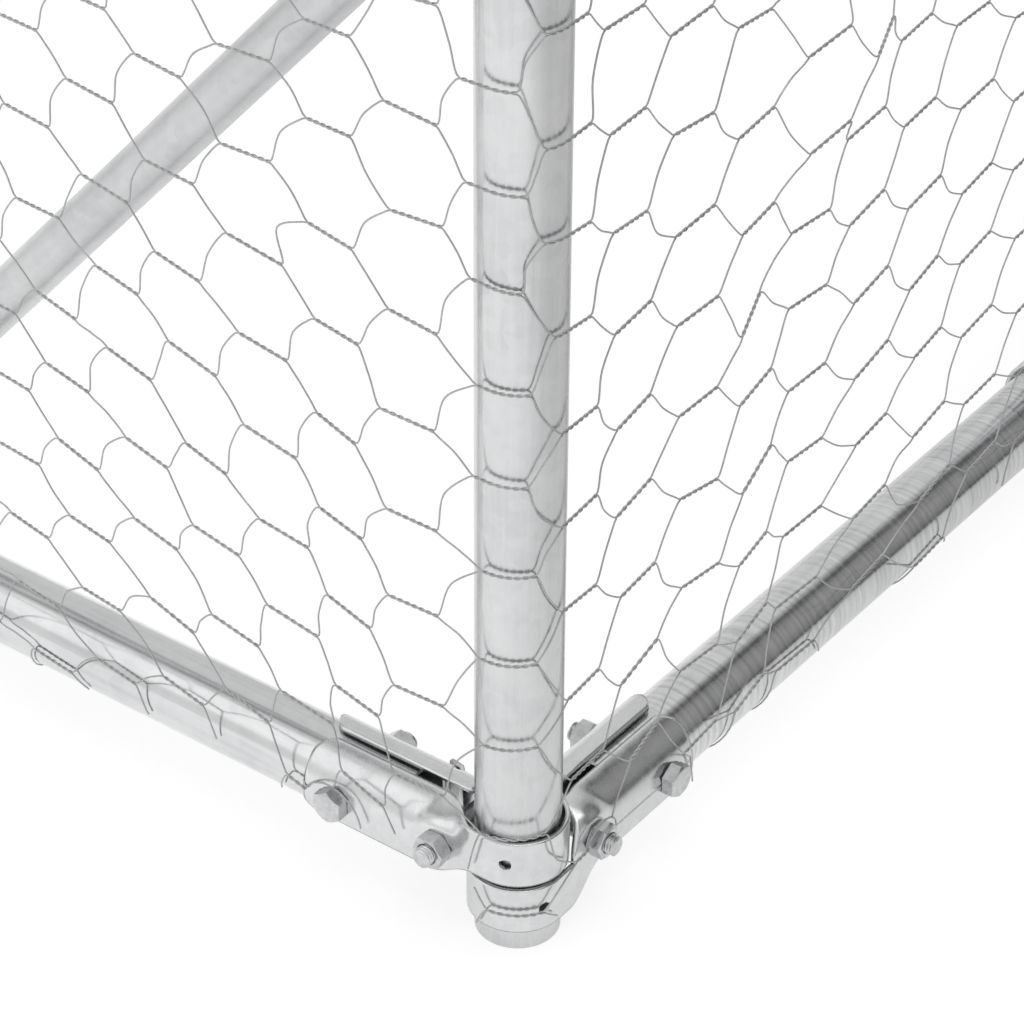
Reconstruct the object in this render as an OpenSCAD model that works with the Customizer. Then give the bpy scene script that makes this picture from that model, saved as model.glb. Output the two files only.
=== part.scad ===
// Outdoor dog kennel run: a clamped frame of galvanised tube, wire netting on
// four walls, an open top and a hinged door with a slide latch in the front.
// The front looks towards -Y, the posts stand on Z = 0, and X = Y = 0 is the
// middle of the plan.

/* [Frame] */
// Distance between the corner posts along the front
run_w = 1500; // [1300:10:2400]
// Distance between the corner posts along the side
run_l = 2000; // [1400:10:3000]
// Height of the corner posts
run_h = 1500; // [1300:10:2200]
// Outside diameter of the frame tube
tube_d = 32; // [28:1:40]
// Wall of the frame tube
tube_wall = 1.5; // [1:0.1:2.5]
// Height of the line between the two clamp loops of a corner
loop_level = 31; // [28:1:60]
// Height by which the side rails lie above the end rails
rail_step = 2.4; // [1:0.2:5]

/* [Clamps] */
// Thickness of the clamp sheet
clamp_t = 2; // [1.5:0.1:3]
// Gap between a clamp and the tube in it
clamp_fit = 0.15; // [0.1:0.05:0.3]
// How much looser the loop is than the arms
loop_slack = 0.15; // [0.1:0.05:0.3]
// Height of the loop that goes round a tube
loop_h = 19.5; // [16:0.5:24]
// Half the gap between the lips of the two arms
lip_gap = 4; // [3:0.5:6]
// Gap from the tube that is crossed to the tube that ends
rail_gap = 30; // [26:1:40]
// Gap from the tube that is crossed to the near bolt
near_bolt_gap = 7.5; // [7:0.5:12]
// Distance of the far bolt from the end of its tube
far_bolt_in = 26; // [20:1:40]
// Length of an arm past the far bolt
arm_past = 13; // [10:1:20]
// Height of the corner bolts above the axis of their rail
bolt_rise = 4; // [0:0.5:6]
// Radius at the ends of an arm
arm_round = 9; // [4:0.5:12]
// Radius of the flat pressed round each bolt
pad_r = 8.5; // [7.8:0.1:9]
// Height of that flat above the round of the arm
pad_rise = 0.3; // [0.2:0.1:0.6]
// Diameter of the screw holes in a loop
loop_hole_d = 5; // [3:0.5:6]
// Angle of the screw holes from the middle of a loop
loop_hole_turn = 68; // [40:1:75]

/* [Bolts] */
// Diameter of the bolts
bolt_d = 8; // [6:1:8]
// Size across the flats of heads and nuts
hex_af = 13; // [10:1:13]
// Height of a bolt head
head_h = 5.3; // [4:0.1:6]
// Height of a nut
nut_h = 6.5; // [5:0.1:7]
// Length of bolt past its nut
bolt_past = 3; // [1:0.5:6]
// Gap round a bolt in its hole
bolt_fit = 0.2; // [0.1:0.05:0.4]

/* [Braces] */
// Outside diameter of the brace tube
brace_d = 20; // [16:1:22]
// Wall of the brace tube
brace_wall = 1.2; // [0.8:0.1:2]
// Height of the brace bolt on the post
brace_rise = 450; // [350:5:600]
// Distance of the brace bolt on the rail from the corner
brace_run = 380; // [300:5:500]
// Thickness of a flattened brace end
brace_flat_t = 3; // [2.4:0.1:4]
// Width of a flattened brace end
brace_flat_w = 28; // [24:1:30]
// Length of the flat past the bolt
brace_flat = 46; // [46:1:60]
// Length over which the tube goes flat
brace_taper = 26; // [20:1:40]

/* [Netting] */
// Height of one gap in the netting
net_cell_h = 115; // [110:1:160]
// Width of one column of gaps
net_cell_w = 96; // [92:1:140]
// Length of the twisted side of a gap
net_twist = 62; // [40:1:66]
// Width of a strand
net_strand = 2.4; // [1.5:0.1:4]
// Thickness of the netting
net_t = 1.2; // [0.8:0.1:2]
// Width of the edge strand
net_edge = 4; // [3:0.5:8]
// Gap between the netting and the clamps
net_off = 0.3; // [0.2:0.1:0.6]
// Length of netting past the corner posts
net_lap = 12; // [8:1:14]
// Distance of the netting from the ends of the posts
net_low = 8; // [4:1:12]
// Radius left free round each bolt
net_clear = 10; // [9:0.5:14]

/* [Door] */
// Distance between the door posts
door_bay = 700; // [640:10:760]
// Outside diameter of the door tube
door_d = 25; // [22:1:28]
// Wall of the door tube
door_wall = 1.2; // [1:0.1:2]
// Gap above the sill and below the top rail
door_gap = 14; // [12:1:20]
// Gap between the latch post and the door
latch_gap = 12; // [10:0.5:16]
// Gap between tubes that are welded together
weld_gap = 0.1; // [0.05:0.05:0.2]

/* [Hinges] */
// Height of the lower hinge, and of the upper one below the top
hinge_in = 300; // [220:5:400]
// Diameter of the hinge pins
pin_d = 12; // [10:1:14]
// Running gap between a pin and its eye
pin_fit = 0.06; // [0.02:0.01:0.09]
// Wall of the eye round a pin
eye_wall = 4; // [3:0.5:6]
// Height of the eye
eye_h = 16; // [14:1:24]
// Diameter of the threaded shanks
shank_d = 10; // [8:1:10]
// Size across the flats of the shank nuts
shank_af = 16; // [14:1:17]
// Height of the shank nuts
shank_nut_h = 8; // [6:0.5:9]
// Diameter of the collar on a shank
collar_d = 18; // [16:0.5:20]
// Thickness of the collar
collar_t = 3; // [2:0.5:4]
// Gap between pieces that meet at a hinge
hinge_play = 0.5; // [0.3:0.1:1]

/* [Latch] */
// Height of the latch
latch_z = 800; // [700:10:900]
// Height of the sliding bar
bar_h = 20; // [16:1:24]
// Thickness of the sliding bar
bar_t = 5; // [5:0.5:6]
// Travel of the sliding bar
bar_travel = 46; // [44:1:50]
// Gap from the nose of the drawn bar to the keep
nose_clear = 7; // [5:0.5:9]
// Gap round the sliding bar
bar_fit = 0.3; // [0.2:0.1:0.5]
// Width of the finger lug under the bar
lug_w = 16; // [12:1:20]
// Length of the finger lug
lug_h = 28; // [22:1:36]
// Diameter of the padlock hole
lock_d = 9; // [7:0.5:9]
// Distance of the padlock hole from the nose of the bar
lock_in = 9; // [8:0.5:10]
// Thickness of the latch plate and of the keep
plate_t = 4; // [4:0.1:5]
// Height of the latch plate and of the keep
plate_h = 60; // [56:1:70]
// Length of plate beyond the middle of the stile
plate_lap = 12; // [10:0.5:12]
// Width of the strips that hold the bar
strip_w = 12; // [10:0.5:12]
// Thickness of those strips
strip_t = 2.5; // [2:0.1:3]
// Width of the keep
keep_w = 24; // [20:1:26]
// Distance of the latch screws from the middle of the bar
screw_out = 21; // [20:0.5:22]
// Diameter of a screw head
screw_head_d = 9; // [7:0.5:9]
// Height of a screw head
screw_head_h = 2.4; // [2:0.1:3]
// Diameter of a screw
screw_d = 4.5; // [4:0.1:5]
// Length of a screw under its head
screw_len = 8; // [7:0.5:10]

/* [Hidden] */
$fn = 48;

left = -1;
right = 1;
front = -1;
rear = 1;
cut = 1;

// Frame and clamps
tube_r = tube_d / 2;
half_w = run_w / 2;
half_l = run_l / 2;
side_z = loop_level + rail_step / 2;
end_z = loop_level - rail_step / 2;
clamp_ri = tube_r + clamp_fit;
clamp_ro = clamp_ri + clamp_t;
bolt_seat = clamp_ro + pad_rise;
rail_end = tube_r + rail_gap;
near_x = tube_r + near_bolt_gap;
far_x = rail_end + far_bolt_in;
arm_end = far_x + arm_past;
loop_ri = clamp_ri + loop_slack;
loop_ro = loop_ri + clamp_t;
strap_end = near_x + pad_r;
strap_low = loop_h / 3;
inner_arm_start = near_x + 14;
notch_l = tube_r + 16;
notch_w = tube_r + 10;
neck_in = tube_r / 2;
neck_seat = neck_in + clamp_t;
neck_end = near_x + pad_r;
neck_web = 14;
neck_bite = clamp_t / 4;
hole_d = bolt_d + 2 * bolt_fit;
bolt_end = bolt_seat + nut_h + bolt_past;

// Braces
brace_z = side_z;
brace_drop = brace_rise - brace_z;
brace_len = norm([brace_run, brace_drop]);
brace_turn = atan2(brace_drop, brace_run);
brace_x = tube_r + clamp_fit + brace_flat_t / 2;
brace_seat = brace_x + brace_flat_t / 2;

// Netting
net_y = bolt_seat + net_off;
net_top = run_h - net_low;
slot_half = net_clear + 0.5;
net_door_edge = door_bay / 2 + keep_w / 2 + 1;

// Door and hinges
door_r = door_d / 2;
door_y = -half_l - tube_r + door_r;
door_low = end_z + tube_r + door_gap;
door_high = run_h - door_low;
eye_r = pin_d / 2 + pin_fit + eye_wall;
hinge_post_x = door_bay / 2;
latch_post_x = -door_bay / 2;
pin_x = hinge_post_x - tube_r - clamp_fit - collar_t - hinge_play - eye_r;
hinge_stile_x = pin_x - eye_r - hinge_play - collar_t - clamp_fit - door_r;
latch_stile_x = latch_post_x + tube_r + latch_gap + door_r;
hinge_heights = [hinge_in, run_h - hinge_in];
eye_low = shank_d / 2 + hinge_play;
eye_mid = eye_low + eye_h / 2;
pin_top = eye_low + eye_h + 6;
shank_past = 3;

// Latch
plate_back = -half_l - tube_r - clamp_fit;
plate_front = plate_back - plate_t;
bar_back = plate_front - bar_fit;
bar_front = bar_back - bar_t;
strip_front = bar_front - bar_fit - strip_t;
bar_nose = latch_post_x + strip_w / 2 + nose_clear;
strip_a = latch_stile_x;
strip_b = strip_a + strip_w + bar_travel + lug_w + 4 * bar_fit;
lug_x = strip_b - strip_w / 2 - 2 * bar_fit - lug_w;
bar_tail = strip_b + strip_w / 2 + 8;
plate_end = strip_b + strip_w / 2 + 16;

// Round tube along +Z
module tube(d, wall, len) {
    difference() {
        cylinder(d = d, h = len);
        translate([0, 0, -cut])
            cylinder(d = d - 2 * wall, h = len + 2 * cut);
    }
}

// Drill of diameter d along X, and along Y, through the origin
module drill_x(d, len) {
    rotate([0, 90, 0])
        cylinder(d = d, h = len, center = true);
}

module drill_y(d, len) {
    rotate([90, 0, 0])
        cylinder(d = d, h = len, center = true);
}

// The top of the frame mirrors the bottom
module at_level(top) {
    if (top)
        translate([0, 0, run_h])
            mirror([0, 0, 1])
                children();
    else
        children();
}

module at_corner(sx, sy) {
    translate([sx * half_w, sy * half_l, 0])
        children();
}

// Poses of a clamp: its own Z runs along the tube that is crossed, and its
// own X along the tube that ends there
module on_side_rail(sy) {
    translate([0, 0, side_z])
        rotate([0, 0, -sy * 90])
            children();
}

module on_end_rail(sx) {
    translate([0, 0, end_z])
        rotate([0, 0, sx < 0 ? 0 : 180])
            children();
}

module on_mid_post(sx) {
    translate([sx * half_w, 0, side_z])
        rotate([-90, 0, 0])
            rotate([0, 0, -90])
                children();
}

module on_door_post(x) {
    translate([x, -half_l, end_z])
        rotate([0, -90, 0])
            children();
}

// Posts
module corner_post(sx, sy) {
    color("gainsboro")
        at_corner(sx, sy)
            difference() {
                tube(tube_d, tube_wall, run_h);
                translate([0, 0, brace_rise])
                    drill_x(hole_d, 2 * tube_d);
            }
}

module mid_post(sx) {
    z0 = side_z + rail_end;
    color("gainsboro")
        difference() {
            translate([sx * half_w, 0, z0])
                tube(tube_d, tube_wall, run_h - 2 * z0);
            for (top = [false, true])
                at_level(top)
                    translate([sx * half_w, 0, side_z + far_x])
                        drill_x(hole_d, 2 * tube_d);
        }
}

module door_post(x) {
    z0 = end_z + rail_end;
    translate([x, -half_l, z0])
        tube(tube_d, tube_wall, run_h - 2 * z0);
}

module door_post_drills(x) {
    for (top = [false, true])
        at_level(top)
            translate([x, -half_l, end_z + far_x])
                drill_y(hole_d, 2 * tube_d);
}

module hinge_post() {
    color("gainsboro")
        difference() {
            door_post(hinge_post_x);
            door_post_drills(hinge_post_x);
            for (z = hinge_heights)
                translate([hinge_post_x, door_y, z])
                    drill_x(shank_d + 2 * bolt_fit, 2 * tube_d);
        }
}

module latch_post() {
    color("gainsboro")
        difference() {
            door_post(latch_post_x);
            door_post_drills(latch_post_x);
            screw_drills(latch_post_x);
        }
}

// Rails, which end short of the corner posts
module side_rail(sx, top) {
    color("lightgrey")
        at_level(top)
            translate([sx * half_w, 0, side_z])
                difference() {
                    translate([0, half_l - rail_end, 0])
                        rotate([90, 0, 0])
                            tube(tube_d, tube_wall, run_l - 2 * rail_end);
                    for (sy = [front, rear]) {
                        translate([0, sy * (half_l - far_x), bolt_rise])
                            drill_x(hole_d, 2 * tube_d);
                        if (!top)
                            translate([0, sy * (half_l - brace_run), 0])
                                drill_x(hole_d, 2 * tube_d);
                    }
                }
}

module end_rail(sy, top) {
    color("lightgrey")
        at_level(top)
            translate([0, sy * half_l, end_z])
                difference() {
                    translate([rail_end - half_w, 0, 0])
                        rotate([0, 90, 0])
                            tube(tube_d, tube_wall, run_w - 2 * rail_end);
                    for (sx = [left, right])
                        translate([sx * (half_w - far_x), 0, bolt_rise])
                            drill_y(hole_d, 2 * tube_d);
                }
}

// Knee brace from a corner post to the bottom side rail, a tube whose ends
// are pressed flat and bolted to the inside of the frame
module brace_end() {
    rotate([90, 0, 0])
        linear_extrude(brace_flat_t, center = true)
            difference() {
                union() {
                    circle(d = brace_flat_w);
                    translate([0, -brace_flat_w / 2])
                        square([brace_flat, brace_flat_w]);
                }
                circle(d = hole_d);
            }
    hull() {
        translate([brace_flat, 0, 0])
            cube([0.02, brace_flat_t, brace_flat_w], center = true);
        translate([brace_flat + brace_taper, 0, 0])
            rotate([0, 90, 0])
                cylinder(d = brace_d, h = 0.02, center = true, $fn = 32);
    }
}

module brace(sx, sy) {
    round_start = brace_flat + brace_taper;
    color("silver")
        at_corner(sx, sy)
            translate([-sx * brace_x, -sy * brace_run, brace_z])
                rotate([0, 0, sy * 90])
                    rotate([0, -brace_turn, 0]) {
                        brace_end();
                        translate([brace_len, 0, 0])
                            rotate([0, 180, 0])
                                brace_end();
                        translate([round_start, 0, 0])
                            rotate([0, 90, 0])
                                tube(brace_d, brace_wall, brace_len - 2 * round_start);
                    }
}

// Sheet clamp, bent from one piece: a low loop round the tube that is
// crossed and two half round arms along the tube that ends there. The sheet
// is necked in on its inner side, so that the bolts of a corner pass.
module clamp_arms() {
    rotate([90, 0, 90])
        linear_extrude(arm_end)
            difference() {
                circle(r = clamp_ro);
                circle(r = clamp_ri);
                square([2 * lip_gap, 3 * clamp_ro], center = true);
            }
}

module arm_corner_cut() {
    for (s = [-1, 1])
        rotate([90, 0, 0])
            linear_extrude(3 * clamp_ro, center = true)
                difference() {
                    translate([arm_end - arm_round, s > 0 ? clamp_ro - arm_round : -clamp_ro - cut])
                        square([arm_round + cut, arm_round + cut]);
                    translate([arm_end - arm_round, s * (clamp_ro - arm_round)])
                        circle(r = arm_round);
                }
}

module clamp_loop() {
    linear_extrude(loop_h)
        difference() {
            union() {
                circle(r = loop_ro);
                square([neck_end, neck_seat]);
            }
            circle(r = loop_ri);
            translate([0, -2 * loop_ro])
                square([arm_end, 2 * loop_ro + neck_in]);
        }
}

// Flat strap from the loop to the outer arm
module clamp_strap() {
    translate([0, -loop_ri, 0])
        rotate([90, 0, 0])
            linear_extrude(clamp_t)
                polygon([[0, 0], [strap_end, 0], [strap_end, strap_low], [tube_r, loop_h], [0, loop_h]]);
}

// Flat under the head of the near bolt, and the web from there to the arm
module clamp_neck(bolt_z) {
    low = min(0, bolt_z - pad_r);
    high = max(loop_h, bolt_z + pad_r);
    translate([0, 0, low])
        linear_extrude(high - low)
            translate([loop_ro, neck_in])
                square([neck_end - loop_ro, clamp_t]);
    translate([0, 0, bolt_z - neck_web / 2])
        linear_extrude(neck_web)
            polygon([
                [neck_end - clamp_t, neck_in],
                [neck_end, neck_in],
                [inner_arm_start + clamp_t, clamp_ri + neck_bite],
                [inner_arm_start, clamp_ro - neck_bite],
                [neck_end - clamp_t, neck_seat]
            ]);
}

module clamp_sheet(bolt_z) {
    difference() {
        clamp_arms();
        arm_corner_cut();
        translate([-cut, 0, -2 * clamp_ro])
            cube([inner_arm_start + cut, 2 * clamp_ro, 4 * clamp_ro]);
        linear_extrude(4 * clamp_ro, center = true)
            polygon([[-cut, cut], [-cut, -notch_w], [0, -notch_w], [notch_l, 0], [notch_l, cut]]);
    }
    clamp_loop();
    clamp_strap();
    clamp_neck(bolt_z);
}

// Flats on which the heads and nuts sit
module clamp_pads(rise) {
    difference() {
        union() {
            translate([near_x, 0, rise])
                rotate([90, 0, 0])
                    cylinder(r = pad_r, h = bolt_seat);
            translate([far_x, 0, rise])
                drill_y(2 * pad_r, 2 * bolt_seat);
        }
        rotate([0, 90, 0])
            cylinder(r = (clamp_ri + clamp_ro) / 2, h = 2 * arm_end);
    }
}

module clamp_blank(loop, rise) {
    if (loop > 0)
        clamp_sheet(rise);
    else
        mirror([0, 0, 1])
            clamp_sheet(-rise);
    clamp_pads(rise);
}

module clamp(loop, rise, out) {
    color("lightsteelblue")
        mirror([0, out > 0 ? 1 : 0, 0])
            difference() {
                clamp_blank(loop, rise);
                for (x = [near_x, far_x])
                    translate([x, 0, rise])
                        drill_y(hole_d, 4 * clamp_ro);
                for (turn = [-loop_hole_turn, loop_hole_turn])
                    rotate([0, 0, 180 + turn])
                        translate([loop_ro, 0, loop * loop_h / 2])
                            drill_x(loop_hole_d, 4 * clamp_t);
            }
}

module corner_clamps(sx, sy, top) {
    at_level(top)
        at_corner(sx, sy) {
            on_side_rail(sy)
                clamp(1, bolt_rise, sx * sy);
            on_end_rail(sx)
                clamp(-1, bolt_rise, -sx * sy);
        }
}

module mid_post_clamps(sx) {
    for (top = [false, true])
        at_level(top)
            on_mid_post(sx)
                clamp(1, 0, sx);
}

module door_post_clamps(x) {
    for (top = [false, true])
        at_level(top)
            on_door_post(x)
                clamp(1, 0, -1);
}

// Bolts and nuts
module hex(af, h) {
    cylinder(d = af / cos(30), h = h, $fn = 6);
}

module bolt(len) {
    translate([0, 0, -head_h])
        hex(hex_af, head_h);
    cylinder(d = bolt_d, h = len);
}

module nut(af, h, bore) {
    difference() {
        hex(af, h);
        translate([0, 0, -cut])
            cylinder(d = bore, h = h + 2 * cut);
    }
}

// A clamp's far bolt has its head outside, and its near bolt its nut outside
module clamp_bolt_pair(rise, out) {
    translate([far_x, out * bolt_seat, rise])
        rotate([out * 90, 0, 0])
            bolt(bolt_seat + bolt_end);
    translate([near_x, -out * neck_seat, rise])
        rotate([-out * 90, 0, 0])
            bolt(neck_seat + bolt_end);
}

module clamp_nut_pair(rise, out) {
    translate([far_x, -out * bolt_seat, rise])
        rotate([out * 90, 0, 0])
            nut(hex_af, nut_h, hole_d);
    translate([near_x, out * bolt_seat, rise])
        rotate([-out * 90, 0, 0])
            nut(hex_af, nut_h, hole_d);
}

module clamp_fasteners(nuts) {
    for (top = [false, true])
        at_level(top) {
            for (sx = [left, right], sy = [front, rear])
                at_corner(sx, sy) {
                    on_side_rail(sy)
                        fastener_pair(nuts, bolt_rise, sx * sy);
                    on_end_rail(sx)
                        fastener_pair(nuts, bolt_rise, -sx * sy);
                }
            for (sx = [left, right])
                on_mid_post(sx)
                    fastener_pair(nuts, 0, sx);
            for (x = [latch_post_x, hinge_post_x])
                on_door_post(x)
                    fastener_pair(nuts, 0, -1);
        }
}

module fastener_pair(nuts, rise, out) {
    if (nuts)
        clamp_nut_pair(rise, out);
    else
        clamp_bolt_pair(rise, out);
}

module clamp_bolts() {
    color("darkgrey")
        clamp_fasteners(false);
}

module clamp_nuts() {
    color("darkgrey")
        clamp_fasteners(true);
}

module at_brace_bolts() {
    for (sx = [left, right], sy = [front, rear])
        at_corner(sx, sy)
            for (place = [[0, brace_rise], [brace_run, brace_z]])
                translate([0, -sy * place[0], place[1]])
                    rotate([0, -sx * 90, 0])
                        children();
}

module brace_bolts() {
    color("darkgrey")
        at_brace_bolts()
            translate([0, 0, -tube_r - clamp_fit])
                bolt(tube_r + clamp_fit + brace_seat + nut_h + bolt_past);
}

module brace_nuts() {
    color("darkgrey")
        at_brace_bolts()
            translate([0, 0, brace_seat])
                nut(hex_af, nut_h, hole_d);
}

// Netting: a flat sheet of six sided gaps with the twisted sides level. A gap
// that would run into the edge strand stops at it.
gap_part = (net_cell_h - net_strand) / net_cell_h;
gap_half_w = gap_part * (net_cell_w - net_twist / 2);
gap_half_h = gap_part * net_cell_h / 2;
gap_flat = gap_part * net_twist / 2;
gap_least = 6;
gap_corners = [
    [-gap_half_w, 0], [-gap_flat, -gap_half_h], [gap_flat, -gap_half_h],
    [gap_half_w, 0], [gap_flat, gap_half_h], [-gap_flat, gap_half_h]
];

function within(v, low, high) = min(max(v, low), high);

module net_gap(at, low, high) {
    if (at[0] + gap_half_w > low[0] + gap_least && at[0] - gap_half_w < high[0] - gap_least
        && at[1] + gap_half_h > low[1] + gap_least && at[1] - gap_half_h < high[1] - gap_least)
        polygon([
            for (c = gap_corners)
                [within(at[0] + c[0], low[0], high[0]), within(at[1] + c[1], low[1], high[1])]
        ]);
}

module net_sheet(x0, x1, z0, z1) {
    cols = ceil((x1 - x0) / net_cell_w / 2);
    rows = ceil((z1 - z0) / net_cell_h / 2);
    difference() {
        translate([x0, z0])
            square([x1 - x0, z1 - z0]);
        for (i = [-cols:cols], j = [-rows:rows])
            net_gap(
                [(x0 + x1) / 2 + i * net_cell_w,
                 (z0 + z1) / 2 + (j + (i % 2 == 0 ? 0 : 0.5)) * net_cell_h],
                [x0 + net_edge, z0 + net_edge],
                [x1 - net_edge, z1 - net_edge]
            );
    }
}

module bolt_window(u, v) {
    translate([u, v])
        circle(r = net_clear);
}

// Window round the two bolts of a clamp and what lies between them, for an
// arm that runs along the net, and for one that runs up or down it
module level_window(end, way, v) {
    for (x = [near_x, far_x])
        bolt_window(end + way * x, v);
    translate([way > 0 ? end + near_x : end - far_x, v - slot_half])
        square([far_x - near_x, 2 * slot_half]);
}

module upright_window(u, end, way) {
    for (x = [near_x, far_x])
        bolt_window(u, end + way * x);
    translate([u - slot_half, way > 0 ? end + near_x : end - far_x])
        square([2 * slot_half, far_x - near_x]);
}

function both_ends(v) = [v, run_h - v];

module side_net() {
    linear_extrude(net_t)
        difference() {
            net_sheet(-half_l - net_lap, half_l + net_lap, net_low, net_top);
            for (v = both_ends(side_z + bolt_rise)) {
                level_window(-half_l, 1, v);
                level_window(half_l, -1, v);
            }
            upright_window(0, side_z, 1);
            upright_window(0, run_h - side_z, -1);
            for (s = [-1, 1]) {
                bolt_window(s * half_l, brace_rise);
                bolt_window(s * (half_l - brace_run), brace_z);
            }
        }
}

module end_net(x0, x1) {
    linear_extrude(net_t)
        difference() {
            net_sheet(x0, x1, net_low, net_top);
            for (v = both_ends(end_z + bolt_rise)) {
                level_window(-half_w, 1, v);
                level_window(half_w, -1, v);
            }
        }
}

module net_left() {
    color("whitesmoke")
        translate([-half_w - net_y - net_t, 0, 0])
            rotate([90, 0, 90])
                side_net();
}

module net_right() {
    color("whitesmoke")
        translate([half_w + net_y, 0, 0])
            rotate([90, 0, 90])
                side_net();
}

module net_rear() {
    color("whitesmoke")
        translate([0, half_l + net_y + net_t, 0])
            rotate([90, 0, 0])
                end_net(-half_w - net_lap, half_w + net_lap);
}

module net_front_left() {
    color("whitesmoke")
        translate([0, -half_l - net_y, 0])
            rotate([90, 0, 0])
                end_net(-half_w - net_lap, -net_door_edge);
}

module net_front_right() {
    color("whitesmoke")
        translate([0, -half_l - net_y, 0])
            rotate([90, 0, 0])
                end_net(net_door_edge, half_w + net_lap);
}

// Door leaf, a welded frame of smaller tube flush with the front of the run
module door_stile(x) {
    translate([x, door_y, door_low])
        tube(door_d, door_wall, door_high - door_low);
}

module door_rail(z) {
    color("silver")
        difference() {
            translate([latch_stile_x, door_y, z])
                rotate([0, 90, 0])
                    tube(door_d, door_wall, hinge_stile_x - latch_stile_x);
            for (x = [latch_stile_x, hinge_stile_x])
                translate([x, door_y, z - door_d])
                    cylinder(d = door_d + 2 * weld_gap, h = 2 * door_d);
        }
}

module door_hinge_stile() {
    color("silver")
        difference() {
            door_stile(hinge_stile_x);
            for (z = hinge_heights)
                translate([hinge_stile_x, door_y, z + eye_mid])
                    drill_x(shank_d + 2 * bolt_fit, 2 * door_d);
        }
}

module door_latch_stile() {
    color("silver")
        difference() {
            door_stile(latch_stile_x);
            screw_drills(latch_stile_x);
        }
}

module door_net() {
    x0 = latch_stile_x - door_r / 2;
    x1 = hinge_stile_x + door_r / 2;
    color("whitesmoke")
        translate([0, door_y - door_r - net_off, 0])
            rotate([90, 0, 0])
                linear_extrude(net_t)
                    difference() {
                        net_sheet(x0, x1, door_low, door_high);
                        translate([x0 - cut, latch_z - plate_h / 2 - net_t])
                            square([plate_end - x0 + cut + net_t, plate_h + 2 * net_t]);
                    }
}

// Hinges: a pin on a shank through the post, and an eye on a shank through
// the stile of the door
module hinge_pintles() {
    color("darkgrey")
        for (z = hinge_heights)
            translate([pin_x, door_y, z]) {
                translate([0, 0, -shank_d / 2])
                    cylinder(d = pin_d, h = shank_d / 2 + pin_top);
                rotate([0, 90, 0])
                    cylinder(d = shank_d, h = hinge_post_x - pin_x + tube_r + clamp_fit
                             + shank_nut_h + shank_past);
                translate([hinge_post_x - pin_x - tube_r - clamp_fit - collar_t, 0, 0])
                    rotate([0, 90, 0])
                        cylinder(d = collar_d, h = collar_t);
            }
}

module pintle_nuts() {
    color("darkgrey")
        for (z = hinge_heights)
            translate([hinge_post_x + tube_r + clamp_fit, door_y, z])
                rotate([0, 90, 0])
                    nut(shank_af, shank_nut_h, shank_d + 2 * bolt_fit);
}

module hinge_eyes() {
    color("darkgrey")
        for (z = hinge_heights)
            translate([pin_x, door_y, z + eye_mid])
                difference() {
                    union() {
                        cylinder(r = eye_r, h = eye_h, center = true);
                        rotate([0, -90, 0])
                            cylinder(d = shank_d, h = pin_x - hinge_stile_x + door_r + clamp_fit
                                     + shank_nut_h + shank_past);
                        translate([hinge_stile_x - pin_x + door_r + clamp_fit, 0, 0])
                            rotate([0, 90, 0])
                                cylinder(d = min(collar_d, eye_h), h = collar_t);
                    }
                    cylinder(d = pin_d + 2 * pin_fit, h = 2 * eye_h, center = true);
                }
}

module eye_nuts() {
    color("darkgrey")
        for (z = hinge_heights)
            translate([hinge_stile_x - door_r - clamp_fit - shank_nut_h, door_y, z + eye_mid])
                rotate([0, 90, 0])
                    nut(shank_af, shank_nut_h, shank_d + 2 * bolt_fit);
}

// Slide latch, drawn back: a flat bar in two strips on the door, which shoots
// into a keep on the latch post
module plate(x0, x1) {
    difference() {
        translate([x0, plate_front, latch_z - plate_h / 2])
            cube([x1 - x0, plate_t, plate_h]);
        screw_drills((x0 < latch_post_x) ? latch_post_x : latch_stile_x);
    }
}

module bar_strip(x) {
    inner = bar_h / 2 + bar_fit;
    translate([x - strip_w / 2, strip_front, latch_z]) {
        for (s = [-1, 1])
            translate([0, 0, s > 0 ? inner : -inner - strip_t])
                cube([strip_w, plate_front - strip_front, strip_t]);
        translate([0, 0, -inner - strip_t])
            cube([strip_w, strip_t, 2 * (inner + strip_t)]);
    }
}

module screw_drills(x) {
    for (s = [-1, 1])
        translate([x, -half_l - tube_r, latch_z + s * screw_out])
            drill_y(screw_d + 2 * bolt_fit, tube_d);
}

module screws(x) {
    color("darkgrey")
        for (s = [-1, 1])
            translate([x, plate_front, latch_z + s * screw_out])
                rotate([90, 0, 0]) {
                    cylinder(d = screw_head_d, h = screw_head_h);
                    translate([0, 0, -screw_len])
                        cylinder(d = screw_d, h = screw_len);
                }
}

module latch_plate() {
    color("lightsteelblue") {
        plate(latch_stile_x - plate_lap, plate_end);
        bar_strip(strip_a);
        bar_strip(strip_b);
    }
}

module latch_keep() {
    color("lightsteelblue") {
        plate(latch_post_x - keep_w / 2, latch_post_x + keep_w / 2);
        bar_strip(latch_post_x);
    }
}

module latch_bar() {
    nose_r = bar_h / 2;
    lug_round = lug_w / 2;
    lug_low = -bar_h / 2 - weld_gap - lug_h + lug_round;
    color("silver")
        translate([0, bar_back, latch_z])
            rotate([90, 0, 0])
                linear_extrude(bar_t) {
                    difference() {
                        union() {
                            translate([bar_nose + nose_r, 0])
                                circle(r = nose_r);
                            translate([bar_nose + nose_r, -bar_h / 2])
                                square([bar_tail - bar_nose - nose_r, bar_h]);
                        }
                        translate([bar_nose + lock_in, 0])
                            circle(d = lock_d);
                    }
                    translate([lug_x, lug_low])
                        square([lug_w, lug_h - lug_round]);
                    translate([lug_x + lug_round, lug_low])
                        circle(r = lug_round);
                }
}

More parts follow.
